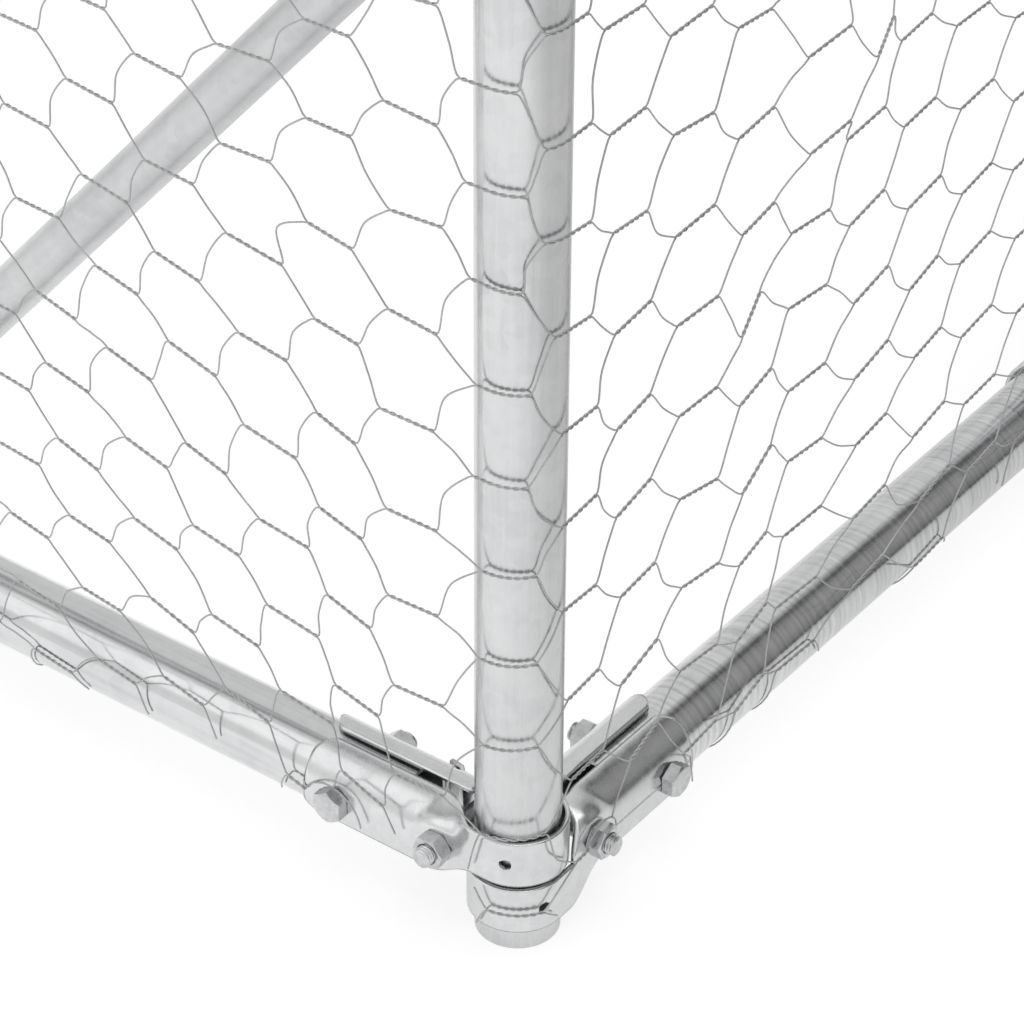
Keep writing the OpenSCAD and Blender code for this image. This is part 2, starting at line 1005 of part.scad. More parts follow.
corner_post(left, front);  // post_front_left
corner_post(right, front);  // post_front_right
corner_post(left, rear);  // post_rear_left
corner_post(right, rear);  // post_rear_right
mid_post(left);  // mid_post_left
mid_post(right);  // mid_post_right
hinge_post();
latch_post();
side_rail(left, false);  // bottom_rail_left
side_rail(right, false);  // bottom_rail_right
end_rail(front, false);  // bottom_rail_front
end_rail(rear, false);  // bottom_rail_rear
side_rail(left, true);  // top_rail_left
side_rail(right, true);  // top_rail_right
end_rail(front, true);  // top_rail_front
end_rail(rear, true);  // top_rail_rear
brace(left, front);  // brace_front_left
brace(right, front);  // brace_front_right
brace(left, rear);  // brace_rear_left
brace(right, rear);  // brace_rear_right
corner_clamps(left, front, false);  // clamps_front_left_bottom
corner_clamps(right, front, false);  // clamps_front_right_bottom
corner_clamps(left, rear, false);  // clamps_rear_left_bottom
corner_clamps(right, rear, false);  // clamps_rear_right_bottom
corner_clamps(left, front, true);  // clamps_front_left_top
corner_clamps(right, front, true);  // clamps_front_right_top
corner_clamps(left, rear, true);  // clamps_rear_left_top
corner_clamps(right, rear, true);  // clamps_rear_right_top
mid_post_clamps(left);  // tee_clamps_left
mid_post_clamps(right);  // tee_clamps_right
door_post_clamps(hinge_post_x);  // tee_clamps_hinge_post
door_post_clamps(latch_post_x);  // tee_clamps_latch_post
clamp_bolts();
clamp_nuts();
brace_bolts();
brace_nuts();
net_left();
net_right();
net_rear();
net_front_left();
net_front_right();
door_hinge_stile();
door_latch_stile();
door_rail(door_high - door_r);  // door_top_rail
door_rail(latch_z);  // door_mid_rail
door_rail(door_low + door_r);  // door_bottom_rail
door_net();
hinge_pintles();
pintle_nuts();
hinge_eyes();
eye_nuts();
latch_plate();
screws(latch_stile_x);  // latch_plate_screws
latch_bar();
latch_keep();
screws(latch_post_x);  // latch_keep_screws
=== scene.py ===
import math
import bpy
import numpy as np
from mathutils import Vector, Matrix


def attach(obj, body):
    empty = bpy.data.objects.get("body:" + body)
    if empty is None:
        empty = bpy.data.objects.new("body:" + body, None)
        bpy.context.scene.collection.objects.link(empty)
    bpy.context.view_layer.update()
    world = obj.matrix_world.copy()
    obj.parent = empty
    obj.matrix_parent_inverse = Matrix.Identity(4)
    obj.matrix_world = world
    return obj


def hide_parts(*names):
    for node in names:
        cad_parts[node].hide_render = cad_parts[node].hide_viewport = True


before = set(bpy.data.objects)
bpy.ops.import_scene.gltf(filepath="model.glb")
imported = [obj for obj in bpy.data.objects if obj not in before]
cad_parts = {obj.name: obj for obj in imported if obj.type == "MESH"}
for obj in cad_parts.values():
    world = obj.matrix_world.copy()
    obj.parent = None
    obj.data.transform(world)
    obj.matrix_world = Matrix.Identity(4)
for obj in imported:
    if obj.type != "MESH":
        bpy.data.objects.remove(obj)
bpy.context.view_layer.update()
scene = bpy.context.scene

# sizes that the pieces share with the frame, in metres
kennel = dict(halfW=0.750, halfL=1.000, height=1.500, tubeR=0.016, sideZ=0.0322, endZ=0.0298,
              rise=0.004, nearX=0.0235, farX=0.0720, braceZ=0.450, braceRun=0.380,
              doorPostX=0.350, doorY=-1.0035, doorR=0.0125, latchStileX=-0.3095, hingeStileX=0.2939,
              doorLow=0.0598, latchZ=0.800)
rTube = kennel["tubeR"]
hw, hl, tall = kennel["halfW"], kennel["halfL"], kennel["height"]


# camera, at the photographed corner
view = dict(place=(-1.578613, -1.613048, 0.914043), turn=(54.7401, -0.2783, -53.1444), lens=129.6025,
            sensor=36.0, clip=(0.02, 60.0))
camData = bpy.data.cameras.new("cornerView")
camData.sensor_width = view["sensor"]
camData.lens = view["lens"]
camData.clip_start, camData.clip_end = view["clip"]
cam = bpy.data.objects.new("cornerView", camData)
cam.location = view["place"]
cam.rotation_euler = [math.radians(a) for a in view["turn"]]
scene.collection.objects.link(cam)
scene.camera = cam


# materials
def newMaterial(name):
    mat = bpy.data.materials.new(name)
    mat.use_nodes = True
    mat.node_tree.nodes.clear()
    return mat, mat.node_tree


def addNode(tree, kind, **values):
    node = tree.nodes.new(kind)
    for key, value in values.items():
        if key in node.inputs:
            node.inputs[key].default_value = value
        else:
            setattr(node, key, value)
    return node


def join(tree, *rows):
    # each row is a node, its output, another node, its input
    for a, outName, b, inName in rows:
        tree.links.new(a.outputs[outName], b.inputs[inName])


def ramp(tree, stops):
    node = tree.nodes.new("ShaderNodeValToRGB")
    while len(node.color_ramp.elements) < len(stops):
        node.color_ramp.elements.new(0.5)
    for element, (pos, col) in zip(node.color_ramp.elements, stops):
        element.position = pos
        element.color = (*col, 1.0)
    return node


def rangeNode(tree, given, wanted, kind="LINEAR"):
    node = addNode(tree, "ShaderNodeMapRange", interpolation_type=kind)
    for key, value in zip(("From Min", "From Max", "To Min", "To Max"), (*given, *wanted)):
        node.inputs[key].default_value = value
    return node


def mixNode(tree, share):
    node = addNode(tree, "ShaderNodeMix", data_type="FLOAT")
    node.inputs[0].default_value = share
    return node


def zincMaterial(name, look):
    # zinc coat: large clouds, fine spangle, and drawn lines along one axis that also vary the gloss
    mat, t = newMaterial(name)
    out = addNode(t, "ShaderNodeOutputMaterial")
    bsdf = addNode(t, "ShaderNodeBsdfPrincipled", Metallic=look["metal"])
    coord = addNode(t, "ShaderNodeTexCoord")
    clouds = addNode(t, "ShaderNodeTexNoise", Scale=look["cloudScale"], Detail=5.0, Roughness=0.6)
    spangle = addNode(t, "ShaderNodeTexVoronoi", Scale=look["spangleScale"], Randomness=1.0)
    grey = addNode(t, "ShaderNodeSeparateColor")
    stretch = addNode(t, "ShaderNodeMapping", Scale=look["drawn"])
    lines = addNode(t, "ShaderNodeTexNoise", Scale=1.0, Detail=3.0, Roughness=0.55)
    withSpangle = mixNode(t, look["spangle"])
    withLines = mixNode(t, look["lines"])
    colours = ramp(t, look["colours"])
    rough = rangeNode(t, (0.3, 0.7), look["rough"])
    bump = addNode(t, "ShaderNodeBump", Strength=look["bump"], Distance=0.0004)
    join(t,
         (coord, "Object", clouds, "Vector"),
         (coord, "Object", spangle, "Vector"),
         (coord, "Object", stretch, "Vector"),
         (stretch, "Vector", lines, "Vector"),
         (spangle, "Color", grey, "Color"),
         (clouds, "Fac", withSpangle, 2),
         (grey, "Red", withSpangle, 3),
         (withSpangle, 0, withLines, 2),
         (lines, "Fac", withLines, 3),
         (withLines, 0, colours, "Fac"),
         (colours, "Color", bsdf, "Base Color"),
         (lines, "Fac", rough, "Value"),
         (rough, "Result", bsdf, "Roughness"),
         (withLines, 0, bump, "Height"),
         (bump, "Normal", bsdf, "Normal"),
         (bsdf, "BSDF", out, "Surface"))
    return mat


tubeLook = dict(metal=0.92, cloudScale=16.0, spangleScale=210.0, spangle=0.12, lines=0.35, bump=0.10,
                rough=(0.14, 0.22),
                colours=[(0.25, (0.49, 0.495, 0.50)), (0.5, (0.63, 0.635, 0.64)), (0.8, (0.73, 0.73, 0.735))])
looks = dict(
    galvanisedAlongX=dict(
        tubeLook, drawn=(430.0, 7.0, 7.0), lines=0.7, bump=0.34,
        colours=[(0.32, (0.45, 0.455, 0.46)), (0.5, (0.63, 0.635, 0.64)), (0.68, (0.77, 0.77, 0.775))]),
    galvanisedAlongY=dict(
        tubeLook, drawn=(420.0, 14.0, 420.0), rough=(0.14, 0.20), bump=0.06),
    galvanisedBrace=dict(
        tubeLook, drawn=(420.0, 40.0, 40.0), rough=(0.28, 0.38), lines=0.25, bump=0.05,
        colours=[(0.25, (0.44, 0.445, 0.45)), (0.5, (0.56, 0.565, 0.57)), (0.8, (0.66, 0.66, 0.665))]),
    galvanisedAlongZ=dict(
        tubeLook, drawn=(420.0, 420.0, 14.0), rough=(0.20, 0.32),
        colours=[(0.25, (0.47, 0.475, 0.48)), (0.5, (0.60, 0.605, 0.61)), (0.8, (0.70, 0.70, 0.705))]),
    clampZinc=dict(
        metal=0.95, cloudScale=34.0, spangleScale=340.0, spangle=0.14, lines=0.3,
        drawn=(260.0, 260.0, 90.0), bump=0.07, rough=(0.2, 0.3),
        colours=[(0.25, (0.56, 0.565, 0.57)), (0.55, (0.67, 0.675, 0.68)), (0.8, (0.74, 0.74, 0.745))]),
    boltZinc=dict(
        metal=0.95, cloudScale=120.0, spangleScale=500.0, spangle=0.2, lines=0.3,
        drawn=(300.0, 300.0, 300.0), bump=0.15, rough=(0.22, 0.4),
        colours=[(0.25, (0.40, 0.405, 0.41)), (0.55, (0.58, 0.585, 0.59)), (0.8, (0.70, 0.70, 0.705))]),
    latchZinc=dict(
        metal=0.95, cloudScale=50.0, spangleScale=300.0, spangle=0.25, lines=0.4,
        drawn=(30.0, 300.0, 300.0), bump=0.15, rough=(0.24, 0.42),
        colours=[(0.25, (0.46, 0.465, 0.47)), (0.55, (0.62, 0.625, 0.63)), (0.8, (0.72, 0.72, 0.725))]),
    nettingWire=dict(
        metal=0.75, cloudScale=70.0, spangleScale=600.0, spangle=0.2, lines=0.3,
        drawn=(400.0, 400.0, 400.0), bump=0.1, rough=(0.38, 0.58),
        colours=[(0.25, (0.34, 0.342, 0.345)), (0.55, (0.48, 0.482, 0.485)), (0.85, (0.60, 0.602, 0.605))]),
)
zinc = {name: zincMaterial(name, look) for name, look in looks.items()}


def paint(names, matName):
    for name in names:
        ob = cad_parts[name]
        ob.data.materials.clear()
        ob.data.materials.append(zinc[matName])


nodeNames = list(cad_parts)
paint([n for n in nodeNames if "post" in n and "clamps" not in n], "galvanisedAlongZ")
paint(["door_hinge_stile", "door_latch_stile"], "galvanisedAlongZ")
paint(["bottom_rail_left", "bottom_rail_right", "top_rail_left", "top_rail_right"], "galvanisedAlongY")
paint(["bottom_rail_front", "bottom_rail_rear", "top_rail_front", "top_rail_rear",
       "door_top_rail", "door_mid_rail", "door_bottom_rail"], "galvanisedAlongX")
paint([n for n in nodeNames if n.startswith("brace_") and n not in ("brace_bolts", "brace_nuts")], "galvanisedBrace")
paint([n for n in nodeNames if "clamps" in n], "clampZinc")
paint(["clamp_bolts", "clamp_nuts", "brace_bolts", "brace_nuts", "hinge_pintles", "pintle_nuts", "hinge_eyes",
       "eye_nuts", "latch_plate_screws", "latch_keep_screws"], "boltZinc")
paint(["latch_plate", "latch_bar", "latch_keep"], "latchZinc")
paint([n for n in nodeNames if n.startswith("net_") or n == "door_net"], "nettingWire")
print("materials ready")


# mesh helpers
def smooth(x, a, b):
    t = np.clip((x - a) / (b - a), 0, 1)
    return t * t * (3 - 2 * t)


def meshPiece(name, verts, quads, mat, body, slotName, uv=None, soft=True):
    mesh = bpy.data.meshes.new(name)
    verts = np.asarray(verts, np.float32).reshape(-1, 3)
    quads = np.asarray(quads, np.int32)
    n, k = quads.shape
    mesh.vertices.add(len(verts))
    mesh.vertices.foreach_set("co", verts.ravel())
    mesh.loops.add(n * k)
    mesh.loops.foreach_set("vertex_index", quads.ravel())
    mesh.polygons.add(n)
    mesh.polygons.foreach_set("loop_start", np.arange(n, dtype=np.int32) * k)
    mesh.polygons.foreach_set("loop_total", np.full(n, k, np.int32))
    mesh.polygons.foreach_set("use_smooth", np.full(n, soft, bool))
    mesh.update(calc_edges=True)
    mesh.validate()
    if uv is not None:
        layer = mesh.uv_layers.new(name="OFBake")
        layer.data.foreach_set("uv", np.asarray(uv, np.float32).ravel())
    ob = bpy.data.objects.new(name, mesh)
    scene.collection.objects.link(ob)
    mesh.materials.append(mat)
    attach(ob, body)
    return ob


def sweepTubes(paths, normals, radius, sides):
    # paths and normals are (tubes, points, 3); gives vertices, quads and a uv patch for each tube
    k, n, _ = paths.shape
    tangent = np.gradient(paths, axis=1)
    tangent /= np.linalg.norm(tangent, axis=2, keepdims=True) + 1e-12
    side = np.cross(tangent, normals)
    side /= np.linalg.norm(side, axis=2, keepdims=True) + 1e-12
    other = np.cross(side, tangent)
    angle = np.arange(sides) * 2 * np.pi / sides
    rings = (np.cos(angle)[None, None, :, None] * side[:, :, None, :]
             + np.sin(angle)[None, None, :, None] * other[:, :, None, :])
    verts = paths[:, :, None, :] + radius * rings
    index = np.arange(k * n * sides).reshape(k, n, sides)
    a = index[:, :-1, :]
    b = np.roll(a, -1, axis=2)
    d = index[:, 1:, :]
    c = np.roll(d, -1, axis=2)
    quads = np.stack([a, b, c, d], axis=-1).reshape(-1, 4)
    # the patches lie on a square grid, with a margin round each
    margin, inner = 0.06, 0.88
    grid = int(math.ceil(math.sqrt(k)))
    tube = np.arange(k)
    left = (tube % grid)[:, None, None]
    low = (tube // grid)[:, None, None]
    along = (np.arange(n - 1) / (n - 1))[None, :, None]
    step = 1.0 / (n - 1)
    around = (np.arange(sides) / sides)[None, None, :]
    turn = 1.0 / sides
    shape = (k, n - 1, sides)

    def patch(x, y):
        return np.stack([np.broadcast_to((left + margin + inner * x) / grid, shape),
                         np.broadcast_to((low + margin + inner * y) / grid, shape)], axis=-1)
    uv = np.stack([patch(along, around), patch(along, around + turn),
                   patch(along + step, around + turn), patch(along + step, around)], axis=3).reshape(-1, 2)
    return verts.reshape(-1, 3), quads, uv


# netting: one roll from the hinge post round the three closed walls to the latch post
# metres on the first line, tube radii below it
netting = dict(wire=0.00034, twist=0.00038, standOff=0.0172, doorEnd=0.387, clampReach=0.1, seed=11,
               rowPitch=2.42, colPitch=2.08, half=0.655, low=1.55, cutEnd=1.00, atClamp=1.50, clampGap=0.1,
               foot=0.95, postAt=0.7, footHalf=1.3, cutHalf=1.6, cutDrop=0.3, high=92.6, firstGap=0.6, lastGap=0.3)
# columns near the photographed corner, in tube radii:
# place, lean, height of row 0, row pitch up and down, tilt, half length
cornerCols = {
    -7: (-14.55, 0.10, 14.00, 2.30, 2.00, -0.10, 0.66),
    -6: (-12.50, 0.11, 12.83, 2.32, 2.03, -0.20, 0.66),
    -5: (-10.40, 0.12, 14.06, 2.32, 2.19, -0.20, 0.68),
    -4: (-8.35, 0.11, 12.77, 2.41, 2.31, -0.20, 0.68),
    -3: (-6.15, 0.08, 14.04, 2.38, 2.41, -0.12, 0.74),
    -2: (-4.15, 0.045, 12.73, 2.42, 2.45, -0.24, 0.62),
    -1: (-2.12, 0.025, 13.71, 2.50, 2.44, 0.00, 0.68),
    0: (0.22, 0.03, 12.95, 2.36, 2.35, 0.04, 0.62),
    1: (2.15, 0.055, 14.10, 2.37, 2.38, 0.05, 0.62),
    2: (4.15, 0.07, 13.40, 2.40, 2.40, 0.20, 0.64),
    3: (6.50, 0.075, 14.70, 2.42, 2.45, -0.03, 0.76),
    4: (8.75, 0.07, 13.60, 2.42, 2.26, 0.27, 0.66),
    5: (10.95, 0.05, 14.90, 2.10, 2.13, -0.05, 0.82),
    6: (13.45, 0.12, 13.94, 2.30, 2.20, 0.13, 0.76),
    7: (15.85, 0.17, 15.50, 2.44, 2.30, 0.18, 0.68),
    8: (18.30, 0.16, 14.80, 2.35, 2.25, 0.12, 0.74),
    9: (20.75, 0.17, 16.20, 2.30, 2.20, 0.10, 0.70),
}
# single twists that lie off their column: place, height, tilt, half length
oddTwists = {(4, 0): (8.62, 13.55, 0.95, 0.52), (5, 1): (11.58, 16.70, 0.05, 0.86),
             (5, 2): (11.33, 19.20, 0.05, 0.86), (6, 2): (13.75, 18.30, 0.97, 0.46)}
# how the columns go on beyond the measured ones, in tube radii; heights follow an even and an odd one
beyond = dict(ease=0.85,
              before=dict(lean=0.1, heights=(14.0, 12.85), down=2.0, tilt=-0.15),
              past=dict(colPitch=2.42, lean=0.15, heights=(16.4, 15.2), up=2.35, down=2.25, tilt=0.1))
# rows of the lattice, those in view, over what heights lean, drift and tilt act, and the spread of all four values
rowRule = dict(rows=(-8, 34), inView=5, level=14.0, leanOver=(-10.0, 14.0), drift=0.055, driftOver=9.0,
               tiltTop=22.0, tiltOver=8.0, tiltShare=(0.15, 1.3), spread=(0.05, 0.045, 0.05, 0.03))
# bow of the arms, upward and downward ones, before and past the photographed post, and one arm by itself
cornerBow = dict(before=(0.085, 0.015), past=(0.045, -0.045), spread=0.035, single=(-3, 1, 0.34))
noise = np.random.default_rng(netting["seed"])
quarter = netting["standOff"] * math.pi / 2
bendMid = 0.5 * quarter
# backwards from the latch post: a wall runs along from a place on the post axes, a bend turns round a post
rollParts = [
    dict(length=netting["doorEnd"], start=(-hw, -hl), along=(1, 0), out=(0, -1)),
    dict(length=quarter, start=(-hw, -hl), angle=math.pi),
    dict(length=2 * hl, start=(-hw, hl), along=(0, -1), out=(-1, 0)),
    dict(length=quarter, start=(-hw, hl), angle=math.pi / 2),
    dict(length=2 * hw, start=(hw, hl), along=(-1, 0), out=(0, 1)),
    dict(length=quarter, start=(hw, hl), angle=0.0),
    dict(length=2 * hl, start=(hw, -hl), along=(0, 1), out=(1, 0)),
    dict(length=quarter, start=(hw, -hl), angle=-math.pi / 2),
    dict(length=netting["doorEnd"], start=(hw - netting["doorEnd"], -hl), along=(1, 0), out=(0, -1)),
]
rollStart = []
place = quarter + netting["doorEnd"]
for part in rollParts:
    place -= part["length"]
    rollStart.append(place)
rearStart, rightStart, hingeStart = rollStart[4], rollStart[6], rollStart[8]
bends = [(start, start + quarter) for part, start in zip(rollParts, rollStart) if "angle" in part]


def rollPoint(s, z, off):
    # a point of the roll at length s, height z, off outside the resting surface, with its outward normal
    x, y, nx, ny = (np.zeros_like(s) for _ in range(4))
    for part, start in zip(rollParts, rollStart):
        inside = np.ones(s.shape, bool)   # the roll runs on past both of its ends
        if part is not rollParts[-1]:
            inside &= s >= start
        if part is not rollParts[0]:
            inside &= s < start + part["length"]
        run = s[inside] - start
        r = netting["standOff"] + off[inside]
        px, py = part["start"]
        if "angle" in part:
            angle = part["angle"] + run / netting["standOff"]
            dx, dy, ox, oy = 0, 0, np.cos(angle), np.sin(angle)
        else:
            dx, dy, ox, oy = *part["along"], *part["out"]
        x[inside] = px + run * dx + r * ox
        y[inside] = py + run * dy + r * oy
        nx[inside] = ox
        ny[inside] = oy
    return np.stack([x, y, z], axis=-1), np.stack([nx, ny, np.zeros_like(nx)], axis=-1)


# room that the wires leave round a bolt, and round a far head, which they pass above
room = dict(bolt=0.0090, farHead=0.0145, farRise=-0.0055)


def cornerBolts():
    # (s, z, clear) of what stands out through the roll
    def onSides(run):
        return -run, -2 * hl + run, rightStart + run, rightStart + 2 * hl - run

    spots = []
    for along, rise, clear in ((kennel["nearX"], kennel["rise"], room["bolt"]),
                               (kennel["farX"], room["farRise"], room["farHead"])):
        side, end = kennel["sideZ"] + rise, kennel["endZ"] + rise
        onEnds = (quarter + along, rearStart + along, rearStart + 2 * hw - along,
                  hingeStart + netting["doorEnd"] - along)
        spots += [(s, z, clear) for z in (side, tall - side) for s in onSides(along)]
        spots += [(s, z, clear) for z in (end, tall - end) for s in onEnds]
        for z in (kennel["sideZ"] + along, tall - kennel["sideZ"] - along):
            spots += [(s, z, room["bolt"]) for s in (-hl, rightStart + hl)]
    spots += [(s, kennel["braceZ"], room["bolt"]) for s in onSides(0.0)]
    spots += [(s, kennel["sideZ"], room["bolt"]) for s in onSides(kennel["braceRun"])]
    return spots


def fromBend(s):
    # distance along the roll to the nearest corner post
    return np.min([np.maximum(np.maximum(a - s, s - b), 0) for a, b in bends], axis=0)


# how the roll lies: drawn in under the rails, lifted by the clamps, slack between the tubes
lay = dict(hug=0.0007, hugOver=0.010, reach=0.97, besideClamps=(0.085, 0.100), lift=0.0034,
           cornerZ=0.031, cornerHalfZ=0.026, cornerHalfS=0.105, teeZ=0.065, teeHalfZ=0.062, teeHalfS=0.026,
           slack=0.0012, tight=0.15, loose=0.85, tightOver=(0.030, 0.065))


def drawnIn(s, z):
    # the wire follows the tube below the axis of a bottom rail and above the axis of a top rail
    r = netting["standOff"]
    onSide = ((s > -2 * hl) & (s < 0)) | ((s > rightStart) & (s < rightStart + 2 * hl))
    level = np.where(onSide, kennel["sideZ"], kennel["endZ"])
    past = np.clip(np.maximum(level - z, z - tall + level), 0, lay["reach"] * r)
    hug = lay["hug"] * smooth(past, 0.0, lay["hugOver"])
    return (r + hug - np.sqrt(r ** 2 - past ** 2)) * smooth(fromBend(s), *lay["besideClamps"])


def rollOff(s, z):
    # how far the wire is lifted off the tubes by the clamps under it, and its slack between the tubes
    def atEnds(height, half, power):
        return np.maximum(np.exp(-((z - height) / half) ** power), np.exp(-((z - tall + height) / half) ** power))

    lift = np.zeros_like(s)
    corners = atEnds(lay["cornerZ"], lay["cornerHalfZ"], 4)
    for a in (bendMid, -2 * hl - bendMid, rollStart[5] + bendMid, rollStart[7] + bendMid):
        lift = np.maximum(lift, corners * lay["lift"] * np.exp(-(np.abs(s - a) / lay["cornerHalfS"]) ** 6))
    tees = atEnds(lay["teeZ"], lay["teeHalfZ"], 6)
    for a in (-hl, rightStart + hl):
        lift = np.maximum(lift, tees * lay["lift"] * np.exp(-(np.abs(s - a) / lay["teeHalfS"]) ** 4))
    waves = np.sin(s * 23.0 + 1.3 * np.sin(z * 17.0)) * np.sin(z * 29.0 + 0.7 * np.sin(s * 11.0))
    slack = lay["slack"] * (1.1 + waves)
    slack = slack * (lay["tight"] + lay["loose"] * smooth(np.minimum(z, tall - z), *lay["tightOver"]))
    return lift + slack - drawnIn(s, z)


def rollLattice():
    # twisted places of the roll, worked out in tube radii: s, z, tilt and half length by column and row
    cols = dict(cornerCols)
    start, stop = hingeStart / rTube, (quarter + netting["doorEnd"]) / rTube
    rule, pitch = beyond["before"], netting["rowPitch"]
    i, fade = min(cols), 1.0
    while cols[i][0] > start:
        fade *= beyond["ease"]
        cols[i - 1] = (cols[i][0] - netting["colPitch"], rule["lean"] * fade, rule["heights"][i % 2],
                       pitch, pitch - (pitch - rule["down"]) * fade, rule["tilt"] * fade, netting["half"])
        i -= 1
    rule, i = beyond["past"], max(cols)
    while cols[i][0] < stop:
        cols[i + 1] = (cols[i][0] + rule["colPitch"], rule["lean"], rule["heights"][i % 2],
                       rule["up"], rule["down"], rule["tilt"], netting["half"])
        i += 1
    low, high = min(cols), max(cols)
    jLow, jHigh = rowRule["rows"]
    shape = (high - low + 1, jHigh - jLow + 1)
    s, z, tilt, half = (np.zeros(shape) for _ in range(4))
    rows = np.arange(jLow, jHigh + 1)
    level, inView = rowRule["level"], rowRule["inView"]
    for i in range(low, high + 1):
        s0, lean, ref, up, down, slope, h = cols[i]
        # the measured pitch holds for the rows in view, and the roll's own above them
        above = ref + up * np.minimum(rows, inView) + pitch * np.maximum(rows - inView, 0)
        zz = np.where(rows < 0, ref + down * rows, above)
        z[i - low] = zz
        s[i - low] = s0 + lean * np.clip(level - zz, *rowRule["leanOver"])
        if s0 < 0:
            s[i - low] += rowRule["drift"] * np.clip(zz - level, 0.0, rowRule["driftOver"])
        tilt[i - low] = slope * np.clip((rowRule["tiltTop"] - zz) / rowRule["tiltOver"], *rowRule["tiltShare"])
        half[i - low] = h
    for values, spread in zip((s, z, tilt, half), rowRule["spread"]):
        values += noise.normal(0, spread, shape)
    for (i, j), odd in oddTwists.items():
        at = i - low, j - jLow
        s[at], z[at], tilt[at], half[at] = odd
    atClamp = fromBend(s * rTube) < netting["clampReach"]
    lowest = np.where(atClamp, netting["atClamp"] + netting["clampGap"], netting["low"])
    lowest = np.where(np.abs(s - netting["postAt"]) < netting["footHalf"], netting["foot"], lowest)
    live = (z > lowest) & (z < netting["high"])
    live &= (s > start + netting["firstGap"]) & (s < stop - netting["lastGap"])
    return dict(s=s * rTube, z=z * rTube, tilt=tilt, half=half * rTube, live=live,
                even=np.array([i % 2 == 0 for i in range(low, high + 1)]),
                ends=(start * rTube, stop * rTube), first=(low, jLow))


def floorOf(s):
    # cut ends stop under the bottom rail, on the web of a clamp, and lower at the foot of the post
    lowest = np.where(fromBend(s) < netting["clampReach"], netting["atClamp"], netting["cutEnd"])
    atFoot = np.abs(s / rTube - netting["postAt"]) < netting["cutHalf"]
    return np.where(atFoot, netting["foot"] - netting["cutDrop"], lowest) * rTube


# cut ends in tube radii: run, rise and fall of one, its bow, where it laps a door post and by how much;
# shoulder and lead shape the arm at a twist; metres for the top and for the height that the keep takes
loose = dict(right=(0.7, 1.0, -1.7), left=(-0.34, 0.5, -1.2), bow=0.3, postReach=2.6, lap=0.45,
             shoulder=0.12, lead=0.17, topGap=0.006, keepHalf=0.06)


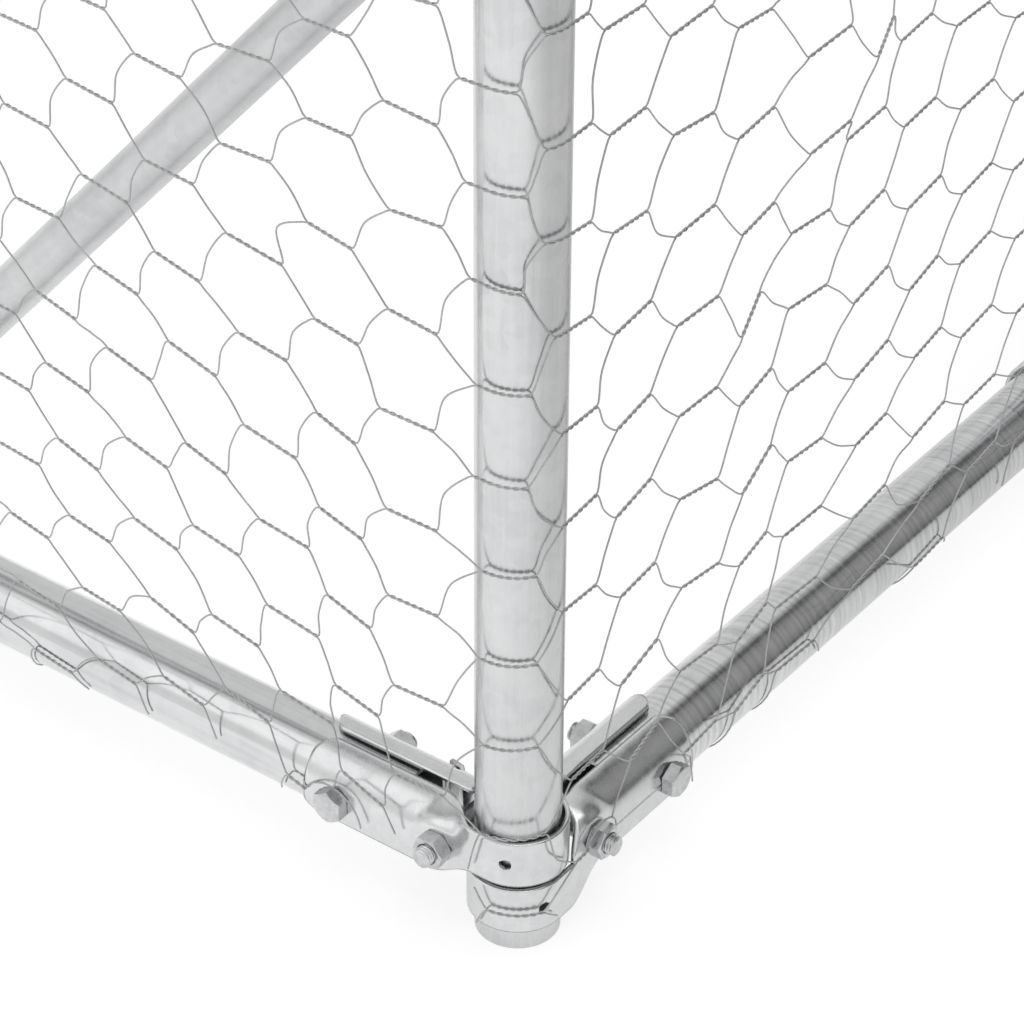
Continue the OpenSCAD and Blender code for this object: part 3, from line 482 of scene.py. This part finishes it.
def netStrands(lat, turns, twistSteps, armSteps, pick):
    # centre lines (s, z) and the lift across the sheet for both strands of each picked twist
    s, z, tilt, half, live = (lat[k] for k in ("s", "z", "tilt", "half", "live"))
    nc, nr = s.shape
    axis = np.stack([np.cos(tilt), np.sin(tilt)], -1)
    across = np.stack([-np.sin(tilt), np.cos(tilt)], -1)
    centre = np.stack([s, z], -1)
    right = centre + axis * half[..., None]
    left = centre - axis * half[..., None]

    def neighbour(step, up):
        # column and row of the twist that a strand runs to
        ci = np.arange(nc)[:, None] + step + np.zeros((nc, nr), int)
        even = lat["even"][:, None] & np.ones((nc, nr), bool)
        rj = np.arange(nr)[None, :] + np.where(even, 0 if up else -1, 1 if up else 0)
        ok = (ci >= 0) & (ci < nc) & (rj >= 0) & (rj < nr)
        ci = np.clip(ci, 0, nc - 1)
        rj = np.clip(rj, 0, nr - 1)
        return ci, rj, ok & live[ci, rj]

    def cutEnd(start, hand, up):
        run, rise, fall = loose[hand]
        return start + np.array([run, rise if up else fall]) * rTube

    bows = lat["bows"]
    first, last = lat["ends"]
    reach, lap, top = loose["postReach"] * rTube, loose["lap"] * rTube, tall - loose["topGap"]
    byKeep = np.abs(z - kennel["latchZ"]) < loose["keepHalf"]
    mids, runs = {}, {}
    for up in (True, False):
        ci, rj, ok = neighbour(1, up)
        goal = left[ci, rj]
        free = cutEnd(right, "right", up)
        # at a door post the cut ends lie on the post
        onPost = (right[..., 0] > last - reach) & ~byKeep
        free[..., 0] = np.where(onPost, 2 * (last + lap) - right[..., 0], free[..., 0])
        free[..., 1] = np.clip(free[..., 1], floorOf(right[..., 0]), top)
        goal = np.where(ok[..., None], goal, free)
        run = goal - right
        bow = np.stack([-run[..., 1], run[..., 0]], -1) * bows[up][..., None]
        mids["r", up] = (right + goal) / 2 + np.where(ok[..., None], bow, loose["bow"] * bow)
        runs["r", up] = run
    for up in (True, False):
        ci, rj, ok = neighbour(-1, up)
        free = cutEnd(left, "left", up)
        onPost = (left[..., 0] < first + reach) & ~byKeep
        free[..., 0] = np.where(onPost, first - lap, free[..., 0])
        free[..., 1] = np.clip(free[..., 1], floorOf(left[..., 0]), top)
        mids["l", up] = np.where(ok[..., None], mids["r", not up][ci, rj], free)
        runs["l", up] = np.where(ok[..., None], runs["r", not up][ci, rj], left - free)
    rows = np.nonzero(live & pick)
    lines, lifts = [], []
    turn = np.linspace(0, 1, twistSteps)
    t = np.linspace(0, 1, armSteps + 1)[:-1][None, :, None]
    b0, b1, b2, b3 = (1 - t) ** 3, 3 * t * (1 - t) ** 2, 3 * t ** 2 * (1 - t), t ** 3
    for upLeft, phase in ((True, 0.0), (False, np.pi)):
        l0 = mids["l", upLeft][rows]
        r0 = mids["r", not upLeft][rows]
        e1 = across[rows]
        ax = axis[rows]
        el = left[rows]
        er = right[rows]
        toL = l0 + loose["lead"] * runs["l", upLeft][rows]
        toR = r0 - loose["lead"] * runs["r", not upLeft][rows]
        out = loose["shoulder"] if upLeft else -loose["shoulder"]
        cl = el - ax * loose["shoulder"] * rTube + e1 * out * rTube
        cr = er + ax * loose["shoulder"] * rTube + e1 * -out * rTube
        armL = b0 * l0[:, None] + b1 * toL[:, None] + b2 * cl[:, None] + b3 * el[:, None]
        armR = (b0 * r0[:, None] + b1 * toR[:, None] + b2 * cr[:, None] + b3 * er[:, None])[:, ::-1]
        phi = phase + 2 * np.pi * turns * turn
        core = el[:, None] * (1 - turn)[None, :, None] + er[:, None] * turn[None, :, None]
        core = core + e1[:, None] * (netting["twist"] * np.cos(phi))[None, :, None]
        lift = np.broadcast_to(netting["twist"] * np.sin(phi), core.shape[:2])
        lines.append(np.concatenate([armL, core, armR], axis=1))
        zero = np.zeros((len(el), armSteps))
        lifts.append(np.concatenate([zero, lift, zero], axis=1))
    return np.concatenate(lines), np.concatenate(lifts)


def keepClear(line, spots):
    # strands go round the bolts that stand out through the netting
    for s, z, clear in spots:
        gap = line - np.array([s, z])
        far = np.linalg.norm(gap, axis=-1, keepdims=True) + 1e-9
        line = line + gap / far * np.clip(clear - far, 0, None)
    return line


def buildNet(name, lat, pick, surface, spots, body, nodes, fine):
    steps = dict(turns=3.5, twistSteps=29, armSteps=7) if fine else dict(turns=1.5, twistSteps=5, armSteps=1)
    sides = 6 if fine else 4
    line, lift = netStrands(lat, pick=pick, **steps)
    line = keepClear(line, spots)
    flat = line.reshape(-1, 2)
    points, normals = surface(flat[:, 0], flat[:, 1], lift.ravel())
    points = points.reshape(*line.shape[:2], 3)
    normals = normals.reshape(points.shape)
    verts, quads, uv = sweepTubes(points, normals, netting["wire"], sides)
    ob = meshPiece(name, verts, quads, zinc["nettingWire"], body, "netting_wire", uv)
    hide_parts(*nodes)
    print(name, len(quads) * 2, "triangles")


def onRoll(s, z, lift):
    return rollPoint(s, z, rollOff(s, z) + lift)


roll = rollLattice()
sMid, zMid = roll["s"], roll["z"]
roll["bows"] = {}
for k, up in enumerate((True, False)):
    bow = np.where(sMid < 0, cornerBow["before"][k], cornerBow["past"][k])
    roll["bows"][up] = bow + noise.normal(0.0, cornerBow["spread"], sMid.shape)
col, row, bow = cornerBow["single"]
roll["bows"][True][col - roll["first"][0], row - roll["first"][1]] = bow
spots = cornerBolts()
# the netting in view has fully twisted wires, the rest fewer steps
closeBy = dict(s=(-0.32, 0.42), z=0.46)
seen = (sMid > closeBy["s"][0]) & (sMid < closeBy["s"][1]) & (zMid < closeBy["z"])
onFront = sMid >= bendMid
leftEnd, rearEnd, rightEnd = -2 * hl - bendMid, rearStart - bendMid, rightStart - bendMid
walls = [
    ("netCornerLeft", seen & ~onFront, "net_left", True),
    ("netCornerFront", seen & onFront, "net_front_left", True),
    ("netFrontLeft", ~seen & onFront, "net_front_left", False),
    ("netLeftFront", ~seen & ~onFront & (sMid >= -hl), "net_left", False),
    ("netLeftRear", (sMid < -hl) & (sMid >= leftEnd), "net_left", False),
    ("netRear", (sMid < leftEnd) & (sMid >= rearEnd), "net_rear", False),
    ("netRightRear", (sMid < rearEnd) & (sMid >= rightStart + hl), "net_right", False),
    ("netRightFront", (sMid < rightStart + hl) & (sMid >= rightEnd), "net_right", False),
    ("netFrontRight", sMid < rightEnd, "net_front_right", False),
]
for name, pick, node, fine in walls:
    buildNet(name, roll, pick, onRoll, spots, "frame", [node], fine)


# door netting, flat on the front of the leaf, cut out behind the latch plate
leaf = dict(lap=0.004, inset=0.012, lowGap=0.004, highGap=0.002, rows=37, spread=0.05, standOff=0.0010,
            plateHalf=0.042, plateEnd=-0.200)


def doorLattice():
    x0, x1 = kennel["latchStileX"] - leaf["lap"], kennel["hingeStileX"] + leaf["lap"]
    nc = int((x1 - x0) / (netting["colPitch"] * rTube)) + 1
    ci, rj = np.meshgrid(np.arange(nc), np.arange(leaf["rows"]), indexing="ij")
    s = x0 + leaf["inset"] + ci * (x1 - x0 - 2 * leaf["inset"]) / (nc - 1)
    z = kennel["doorLow"] + leaf["lowGap"] + (rj + np.where(ci % 2 == 0, 0.0, 0.5)) * netting["rowPitch"] * rTube
    s = s + noise.normal(0, leaf["spread"] * rTube, s.shape)
    z = z + noise.normal(0, leaf["spread"] * rTube, s.shape)
    tilt = noise.normal(0, leaf["spread"], s.shape)
    bows = {up: noise.normal(0, leaf["spread"], s.shape) for up in (True, False)}
    live = z < tall - kennel["doorLow"] - leaf["highGap"]
    plate = (np.abs(z - kennel["latchZ"]) < leaf["plateHalf"]) & (s < leaf["plateEnd"])
    return dict(s=s, z=z, tilt=tilt, half=np.full(s.shape, netting["half"] * rTube), live=live & ~plate,
                ends=(x0, x1), even=np.arange(nc) % 2 == 0, bows=bows)


def onDoor(s, z, lift):
    y = kennel["doorY"] - kennel["doorR"] - leaf["standOff"] - lift
    normal = np.zeros((len(s), 3))
    normal[:, 1] = -1.0
    return np.stack([s, y, z], -1), normal


doorLat = doorLattice()
buildNet("netDoor", doorLat, np.ones(doorLat["s"].shape, bool), onDoor, [], "door", ["door_net"], False)


# clamps: one bent sheet each, a loop round the tube that is crossed and an arm each side of the tube that ends there
# round and web are shares of the strip across an arm; tip values shape its rounded end
sheet = dict(thick=0.0018, armR=0.01715, lip=78.0, round=0.58, web=0.42, drop=0.0085, end=0.0870,
             flare=(0.0070, 0.0270), loopR=0.0180, loopH=0.0195, loopTurn=(-90, -325), meetR=0.0196,
             boss=0.0172, press=(0.0066, 0.0140), teePress=(0.0074, 0.0116), holeR=0.0024, holeTurn=68.0,
             tip=0.0065, tipFrom=0.55, tipOver=0.45, tipPower=2.2)
# neck: x, y and the share of the narrow strip; the inner arm is cut down beside the post and whole past full
innerSide = dict(neck=[(0.0170, 0.0091, 0.5), (0.0200, 0.0090, 1.0), (0.0260, 0.0090, 1.0), (0.0310, 0.0090, 1.0),
                       (0.0345, 0.0125, 1.0), (0.0385, 0.0165, 1.0), (0.0440, 0.0172, 1.0)], neckHalf=0.0075,
                 lip=90.0, turn=74, start=0.0210, full=(0.0340, 0.0400), end=0.0890,
                 lift=0.0012, liftOver=(0.006, 0.015))


def armSection(v, lip):
    # across an arm from its top lip, round the tube and down its flat web: sideways and up
    angle = np.clip(1 - v / sheet["round"], 0, 1) * math.radians(lip)
    down = np.clip((v - sheet["round"]) / sheet["web"], 0, 1) * sheet["drop"]
    return sheet["armR"] * np.cos(angle), sheet["armR"] * np.sin(angle) - down


def armEnd(v, end):
    # rounded corners at the tip of an arm
    k = np.clip((np.abs(2 * v - 1) - sheet["tipFrom"]) / sheet["tipOver"], 0, 1)
    return end - sheet["tip"] * k ** sheet["tipPower"]


def thickSheet(grid, hole=None):
    # a grid of points becomes a sheet with two faces and a rim; hole marks cells left out
    du = np.gradient(grid, axis=0)
    dv = np.gradient(grid, axis=1)
    normal = np.cross(du, dv)
    normal /= np.linalg.norm(normal, axis=2, keepdims=True) + 1e-12
    h = sheet["thick"] / 2
    nu, nv, _ = grid.shape
    verts = np.concatenate([(grid + normal * h).reshape(-1, 3), (grid - normal * h).reshape(-1, 3)])
    index = np.arange(nu * nv).reshape(nu, nv)
    quad = np.stack([index[:-1, :-1], index[1:, :-1], index[1:, 1:], index[:-1, 1:]], -1).reshape(-1, 4)
    if hole is not None:
        quad = quad[~hole.reshape(-1)[quad].all(axis=1)]
    other = nu * nv
    sides = np.concatenate([quad[:, [0, 1]], quad[:, [1, 2]], quad[:, [2, 3]], quad[:, [3, 0]]])
    key = np.sort(sides, axis=1)
    key = key[:, 0].astype(np.int64) * other + key[:, 1]
    _, where, count = np.unique(key, return_index=True, return_counts=True)
    rim = sides[where[count == 1]]
    wall = np.stack([rim[:, 1], rim[:, 0], rim[:, 0] + other, rim[:, 1] + other], -1)
    return verts, np.concatenate([quad, quad[:, ::-1] + other, wall])


def clampParts(loop, rise):
    # outer side is -Y; loop +1 lies above the tube's axis, -1 below it
    v = np.linspace(0, 1, 26)[None, :]
    high, low = (sheet["loopH"], 0.0) if loop > 0 else (0.0, -sheet["loopH"])
    strip = high + (low - high) * v
    loopR, armR, flare = sheet["loopR"], sheet["armR"], sheet["flare"]

    def pressed(x, y, z):
        # a flat place under the near nut, smaller on the tee clamps, where the open door comes close
        k = 1 - smooth(np.hypot(x - kennel["nearX"], z - rise), *sheet["press" if rise else "teePress"])
        return y - k * (sheet["boss"] + y)

    # outer arm, flare and the straight run to the loop; under the other loop only the web runs on round the post
    across = v if loop > 0 else sheet["round"] + sheet["web"] * v
    u = np.linspace(0, 1, 46)[:, None]
    x = armEnd(across, sheet["end"]) * (1 - u) + flare[1] * u
    x = np.concatenate([x, np.linspace(flare[1], 0, 37)[1:, None] + 0 * v])
    ay, az = armSection(across, sheet["lip"])
    w = smooth(x, *flare)
    y = -(w * ay + (1 - w) * loopR)
    z = w * az + (1 - w) * strip
    rows = [np.stack([x, pressed(x, y, z), z], -1)]
    # loop
    angle = np.radians(np.linspace(*sheet["loopTurn"], 56))[1:, None]
    rows.append(np.stack([loopR * np.cos(angle) + 0 * v, loopR * np.sin(angle) + 0 * v, strip + 0 * angle], -1))
    # neck between the arms, and out again to the inner arm
    narrow = rise + innerSide["neckHalf"] * (1 - 2 * v)
    for px, py, k in innerSide["neck"]:
        rows.append(np.stack([px + 0 * v, py + 0 * v, strip * (1 - k) + narrow * k], -1))
    grid = np.concatenate(rows)
    hole = np.zeros(grid.shape[:2], bool)
    for turn in (-sheet["holeTurn"], sheet["holeTurn"]):
        a = math.radians(180 + turn)
        c = np.array([loopR * math.cos(a), loopR * math.sin(a), loop * sheet["loopH"] / 2])
        gap = grid - c
        far = np.linalg.norm(gap, axis=2)
        inside = far < sheet["holeR"]
        grid[inside] = c + gap[inside] / (far[inside][:, None] + 1e-9) * sheet["holeR"]
        hole |= inside
    sheets = [thickSheet(grid, hole)]
    if loop < 0:
        # the round part of the arm stops at the other loop
        across = np.linspace(0, sheet["round"], 18)[None, :]
        ay, az = armSection(across, sheet["lip"])
        x = armEnd(across, sheet["end"]) * (1 - u) + np.sqrt(sheet["meetR"] ** 2 - ay ** 2) * u
        y = -ay * (1 + (1 - smooth(x, *flare)) * (loopR / armR - 1))
        sheets.append(thickSheet(np.stack([x, pressed(x, y, az), az + 0 * x], -1)))
    # inner arm
    u = np.linspace(0, 1, 34)[:, None]
    x = innerSide["start"] * u + armEnd(v, innerSide["end"]) * (1 - u)
    full = smooth(x, *innerSide["full"])
    ay, az = armSection(v, innerSide["lip"])
    a = np.radians(innerSide["lip"] - innerSide["turn"] * v)
    y = full * ay + (1 - full) * armR * np.cos(a)
    z = full * az + (1 - full) * armR * np.sin(a)
    lift = innerSide["lift"] * smooth(z, *innerSide["liftOver"])
    sheets.append(thickSheet(np.stack([x, y, z + lift], -1)[::-1]))
    return sheets


# bolts and nuts: where they sit on a clamp, their sizes, and how far each kind is turned on its axis
seat = dict(outer=0.0181, neck=0.0100, end=0.02795, headH=0.0053, headTop=0.470, headBevel=0.62, nutH=0.0065,
            nutTop=0.475, nutBevel=0.58, af=0.0122, boltR=0.0040, pitch=0.00125, threaded=0.0150, deep=0.00062,
            edge=0.0004, farDrop=0.0035, nearTurn=17, farNutTurn=11, nearNutTurn=23, braceNutTurn=14)
braceSeat = dict(length=0.0448, head=-0.01615, nut=0.01915)
ringAngle = np.arange(24) * 2 * np.pi / 24
hexR = seat["af"] / 2 / np.cos((ringAngle + np.pi / 6) % (np.pi / 3) - np.pi / 6)


def ring(r, z):
    return np.stack([r * np.cos(ringAngle), r * np.sin(ringAngle), z + 0 * ringAngle], -1)


def lathe(rings, close=True):
    # rings of points (n, k, 3) joined in order, with a fan at each end
    rings = np.asarray(rings)
    n, k, _ = rings.shape
    verts = rings.reshape(-1, 3)
    index = np.arange(n * k).reshape(n, k)
    a = index[:-1]
    b = np.roll(a, -1, axis=1)
    d = index[1:]
    c = np.roll(d, -1, axis=1)
    quads = np.stack([a, b, c, d], -1).reshape(-1, 4)
    if close:
        verts = np.concatenate([verts, rings[0].mean(0)[None], rings[-1].mean(0)[None]])
        fans = []
        for edge, way, middle in ((index[0], -1, n * k), (index[-1], 1, n * k + 1)):
            fans.append(np.stack([np.roll(edge, way)[::2], edge[::2], np.roll(edge, -way)[::2],
                                  np.full(k // 2, middle)], -1))
        quads = np.concatenate([quads, *fans])
    return verts, quads


def boltParts(length):
    # along +Z from the seat under the head
    af, top, r, threaded = seat["af"], -seat["headH"], seat["boltR"], seat["threaded"]
    topR = seat["headTop"] * af
    bevel = (hexR - topR) * seat["headBevel"]
    head = [ring(topR * 0.55, top + 0.0004), ring(topR * 0.72, top + 0.0002), ring(topR, top),
            ring(hexR, top + bevel), ring(hexR, -0.0002), ring(af * 0.48, 0.0)]
    start = length - threaded
    rings = [ring(r, 0.0), ring(r, start)]
    steps = int(threaded / seat["pitch"] * 5)
    for i in range(1, steps):
        z = start + threaded * i / steps
        phase = (z / seat["pitch"] - ringAngle / (2 * np.pi)) % 1.0
        rings.append(ring(r - seat["deep"] * np.abs(2 * phase - 1), z))
    rings += [ring(r * 0.80, length - 0.0002), ring(r * 0.72, length)]
    return [lathe(head), lathe(rings)]


def nutParts():
    height, edge = seat["nutH"], seat["edge"]
    topR = seat["nutTop"] * seat["af"]
    bevel = (hexR - topR) * seat["nutBevel"]
    bore = seat["boltR"] + 0.0001
    rings = [ring(bore, edge), ring(bore + edge, 0.0), ring(topR, 0.0), ring(hexR, bevel), ring(hexR, height - bevel),
             ring(topR, height), ring(bore + edge, height), ring(bore, height - edge), ring(bore, edge)]
    return [lathe(rings, close=False)]


def moved(parts, matrix):
    m = np.array(matrix)
    flip = np.linalg.det(m[:3, :3]) < 0
    return [(np.asarray(v) @ m[:3, :3].T + m[:3, 3], q[:, ::-1] if flip else q) for v, q in parts]


def joined(parts):
    verts, quads, n = [], [], 0
    for v, q in parts:
        verts.append(v)
        quads.append(q + n)
        n += len(v)
    return np.concatenate(verts), np.concatenate(quads)


def turned(deg, axis):
    return Matrix.Rotation(math.radians(deg), 4, axis)


def shift(x, y, z):
    return Matrix.Translation((x, y, z))


def mirrored(yes):
    return Matrix.Diagonal((1, -1 if yes else 1, 1, 1))


def fastened(parts, matrix, spot, tip, turn):
    return moved(parts, matrix @ shift(*spot) @ turned(tip, "X") @ turned(turn, "Z"))


# for each node its clamps: place, side of the loop, rise of the bolts
clampSpots = {}
boltRise = kennel["rise"]
for top in (False, True):
    level = shift(0, 0, tall) @ Matrix.Diagonal((1, 1, -1, 1)) if top else Matrix.Identity(4)
    word = "top" if top else "bottom"
    for sx in (-1, 1):
        for sy in (-1, 1):
            name = "clamps_%s_%s_%s" % ("front" if sy < 0 else "rear", "left" if sx < 0 else "right", word)
            corner = shift(sx * hw, sy * hl, 0)
            side = level @ corner @ shift(0, 0, kennel["sideZ"]) @ turned(-sy * 90, "Z")
            end = level @ corner @ shift(0, 0, kennel["endZ"]) @ turned(0 if sx < 0 else 180, "Z")
            clampSpots[name] = [(side @ mirrored(sx * sy > 0), 1, boltRise),
                                (end @ mirrored(sx * sy < 0), -1, boltRise)]
        mid = level @ shift(sx * hw, 0, kennel["sideZ"]) @ turned(-90, "X") @ turned(-90, "Z")
        name = "tee_clamps_left" if sx < 0 else "tee_clamps_right"
        clampSpots.setdefault(name, []).append((mid @ mirrored(sx > 0), 1, 0.0))
        door = level @ shift(sx * kennel["doorPostX"], -hl, kennel["endZ"]) @ turned(-90, "Y")
        name = "tee_clamps_latch_post" if sx < 0 else "tee_clamps_hinge_post"
        clampSpots.setdefault(name, []).append((door, 1, 0.0))

made = {key: clampParts(*key) for key in ((1, boltRise), (-1, boltRise), (1, 0.0))}
farBolt = boltParts(seat["outer"] + seat["end"])
nearBolt = boltParts(seat["neck"] + seat["end"])
oneNut = nutParts()
bolts, nuts = [], []
for name, places in clampSpots.items():
    parts = []
    for matrix, loop, rise in places:
        parts += moved(made[loop, rise], matrix)
        low = rise - seat["farDrop"]
        bolts += fastened(farBolt, matrix, (kennel["farX"], -seat["outer"], low), -90, 0)
        bolts += fastened(nearBolt, matrix, (kennel["nearX"], seat["neck"], rise), 90, seat["nearTurn"])
        nuts += fastened(oneNut, matrix, (kennel["farX"], seat["outer"], low), -90, seat["farNutTurn"])
        nuts += fastened(oneNut, matrix, (kennel["nearX"], -seat["outer"], rise), 90, seat["nearNutTurn"])
    ob = meshPiece("sheet." + name, *joined(parts), zinc["clampZinc"], "frame", "clamp_sheet")
    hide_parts(name)
print("clamps ready")
braceBolts, braceNuts = [], []
braceBolt = boltParts(braceSeat["length"])
for sx in (-1, 1):
    for sy in (-1, 1):
        for run, z in ((0.0, kennel["braceZ"]), (kennel["braceRun"], kennel["sideZ"])):
            m = shift(sx * hw, sy * (hl - run), z) @ turned(-sx * 90, "Y")
            braceBolts += moved(braceBolt, m @ shift(0, 0, braceSeat["head"]))
            braceNuts += moved(oneNut, m @ shift(0, 0, braceSeat["nut"]) @ turned(seat["braceNutTurn"], "Z"))
for name, parts, node in (("boltsClamp", bolts, "clamp_bolts"), ("nutsClamp", nuts, "clamp_nuts"),
                          ("boltsBrace", braceBolts, "brace_bolts"), ("nutsBrace", braceNuts, "brace_nuts")):
    ob = meshPiece(name, *joined(parts), zinc["boltZinc"], "frame", "fastener_zinc", soft=False)
    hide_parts(node)
    print(name, len(ob.data.polygons) * 2, "triangles")


# stage: pale floor that is white where it is seen; in the metal it darkens along fallToward
stage = dict(size=9.0, pale=0.80, glow=0.52, fallToward=(0.80, -0.60, 0.0), fallOver=(-0.35, 0.55),
             fallGlow=(0.72, 0.22), seenWhite=(0.64, 1.0), whiteOver=(2.2, 4.6))
floorMesh = bpy.data.meshes.new("floor")
edge = stage["size"]
floorMesh.from_pydata([(-edge, -edge, 0), (edge, -edge, 0), (edge, edge, 0), (-edge, edge, 0)], [], [(0, 1, 2, 3)])
floor = bpy.data.objects.new("floor", floorMesh)
scene.collection.objects.link(floor)
floorMat, t = newMaterial("paleFloor")
out = addNode(t, "ShaderNodeOutputMaterial")
path = addNode(t, "ShaderNodeLightPath")
spot = addNode(t, "ShaderNodeNewGeometry")
pale = addNode(t, "ShaderNodeBsdfDiffuse", Color=(stage["pale"],) * 3 + (1.0,))
# glow for camera, glossy and transmission rays only
either = addNode(t, "ShaderNodeMath", operation="MAXIMUM")
anyRay = addNode(t, "ShaderNodeMath", operation="MAXIMUM")
away = addNode(t, "ShaderNodeVectorMath", operation="DOT_PRODUCT")
away.inputs[1].default_value = stage["fallToward"]
fall = rangeNode(t, stage["fallOver"], stage["fallGlow"], "SMOOTHSTEP")
inMetal = addNode(t, "ShaderNodeMix", data_type="FLOAT")
inMetal.inputs[2].default_value = stage["glow"]
glow = addNode(t, "ShaderNodeEmission")
black = addNode(t, "ShaderNodeEmission", Strength=0.0)
pickGlow = addNode(t, "ShaderNodeMixShader")
total = addNode(t, "ShaderNodeAddShader")
join(t,
     (spot, "Position", away, 0),
     (away, "Value", fall, "Value"),
     (path, "Is Glossy Ray", inMetal, 0),
     (fall, "Result", inMetal, 3),
     (inMetal, 0, glow, "Strength"),
     (path, "Is Camera Ray", either, 0),
     (path, "Is Glossy Ray", either, 1),
     (either, 0, anyRay, 0),
     (path, "Is Transmission Ray", anyRay, 1),
     (anyRay, 0, pickGlow, 0),
     (black, 0, pickGlow, 1),
     (glow, 0, pickGlow, 2),
     (pale, 0, total, 0),
     (pickGlow, 0, total, 1))
# seen by the camera it goes over to white, and fully so far from the object
white = addNode(t, "ShaderNodeEmission", Strength=1.0)
reach = addNode(t, "ShaderNodeVectorMath", operation="LENGTH")
fade = rangeNode(t, stage["whiteOver"], stage["seenWhite"], "SMOOTHSTEP")
whiteSeen = addNode(t, "ShaderNodeMath", operation="MULTIPLY")
pickWhite = addNode(t, "ShaderNodeMixShader")
join(t,
     (spot, "Position", reach, 0),
     (reach, "Value", fade, "Value"),
     (fade, "Result", whiteSeen, 0),
     (path, "Is Camera Ray", whiteSeen, 1),
     (whiteSeen, 0, pickWhite, 0),
     (total, 0, pickWhite, 1),
     (white, 0, pickWhite, 2),
     (pickWhite, 0, out, "Surface"))
floorMesh.materials.append(floorMat)

# studio, as the metal reflects it: a dark card to the right with a paler middle, and a narrow gap overhead
# for each the way it lies, an added amount, and tones against the sum
studio = dict(even=0.50, tones=[
    ((0.625, -0.587, 0.515), 0.0, [(0.800, 0.95), (0.8625, 0.05), (0.908, 0.05), (0.950, 0.29), (1.0, 0.36)]),
    ((0.5, 0.0, 0.0), 0.5, [(0.448, 0.95), (0.472, 0.14), (0.505, 0.14), (0.528, 0.84)])])
world = bpy.data.worlds.new("studio")
scene.world = world
world.use_nodes = True
t = world.node_tree
t.nodes.clear()
out = addNode(t, "ShaderNodeOutputWorld")
coord = addNode(t, "ShaderNodeTexCoord")
darkest = None
for toward, added, stops in studio["tones"]:
    dot = addNode(t, "ShaderNodeVectorMath", operation="DOT_PRODUCT")
    dot.inputs[1].default_value = toward
    offset = addNode(t, "ShaderNodeMath", operation="ADD")
    offset.inputs[1].default_value = added
    tone = ramp(t, [(at, (level,) * 3) for at, level in stops])
    join(t, (coord, "Generated", dot, 0), (dot, "Value", offset, 0), (offset, 0, tone, "Fac"))
    if darkest is None:
        darkest = tone
    else:
        least = addNode(t, "ShaderNodeMath", operation="MINIMUM")
        join(t, (darkest, 0, least, 0), (tone, 0, least, 1))
        darkest = least
shaded = addNode(t, "ShaderNodeBackground", Color=(1, 1, 1, 1))
even = addNode(t, "ShaderNodeBackground", Color=(1, 1, 1, 1), Strength=studio["even"])
white = addNode(t, "ShaderNodeBackground", Color=(1, 1, 1, 1), Strength=1.0)
path = addNode(t, "ShaderNodeLightPath")
inMetal = addNode(t, "ShaderNodeMixShader")
pickSky = addNode(t, "ShaderNodeMixShader")
join(t,
     (darkest, 0, shaded, "Strength"),
     (path, "Is Glossy Ray", inMetal, 0),
     (even, 0, inMetal, 1),
     (shaded, 0, inMetal, 2),
     (path, "Is Camera Ray", pickSky, 0),
     (inMetal, 0, pickSky, 1),
     (white, 0, pickSky, 2),
     (pickSky, 0, out, "Surface"))


def softLamp(name, place, aim, size, watts):
    data = bpy.data.lights.new(name, "AREA")
    data.shape = "RECTANGLE"
    data.size, data.size_y = size
    data.energy = watts
    ob = bpy.data.objects.new(name, data)
    ob.location = place
    ob.rotation_euler = (Vector(aim) - Vector(place)).to_track_quat("-Z", "Y").to_euler()
    ob.visible_camera = False
    scene.collection.objects.link(ob)


softLamp("overhead", (-0.6, -1.4, 3.4), (-0.6, -0.8, 0.0), (2.4, 2.4), 26)
softLamp("leftBox", (-2.55, 0.85, 2.05), (-0.75, -0.8, 0.1), (2.0, 2.0), 5)
scene.view_settings.view_transform = "Standard"
print("stage ready")
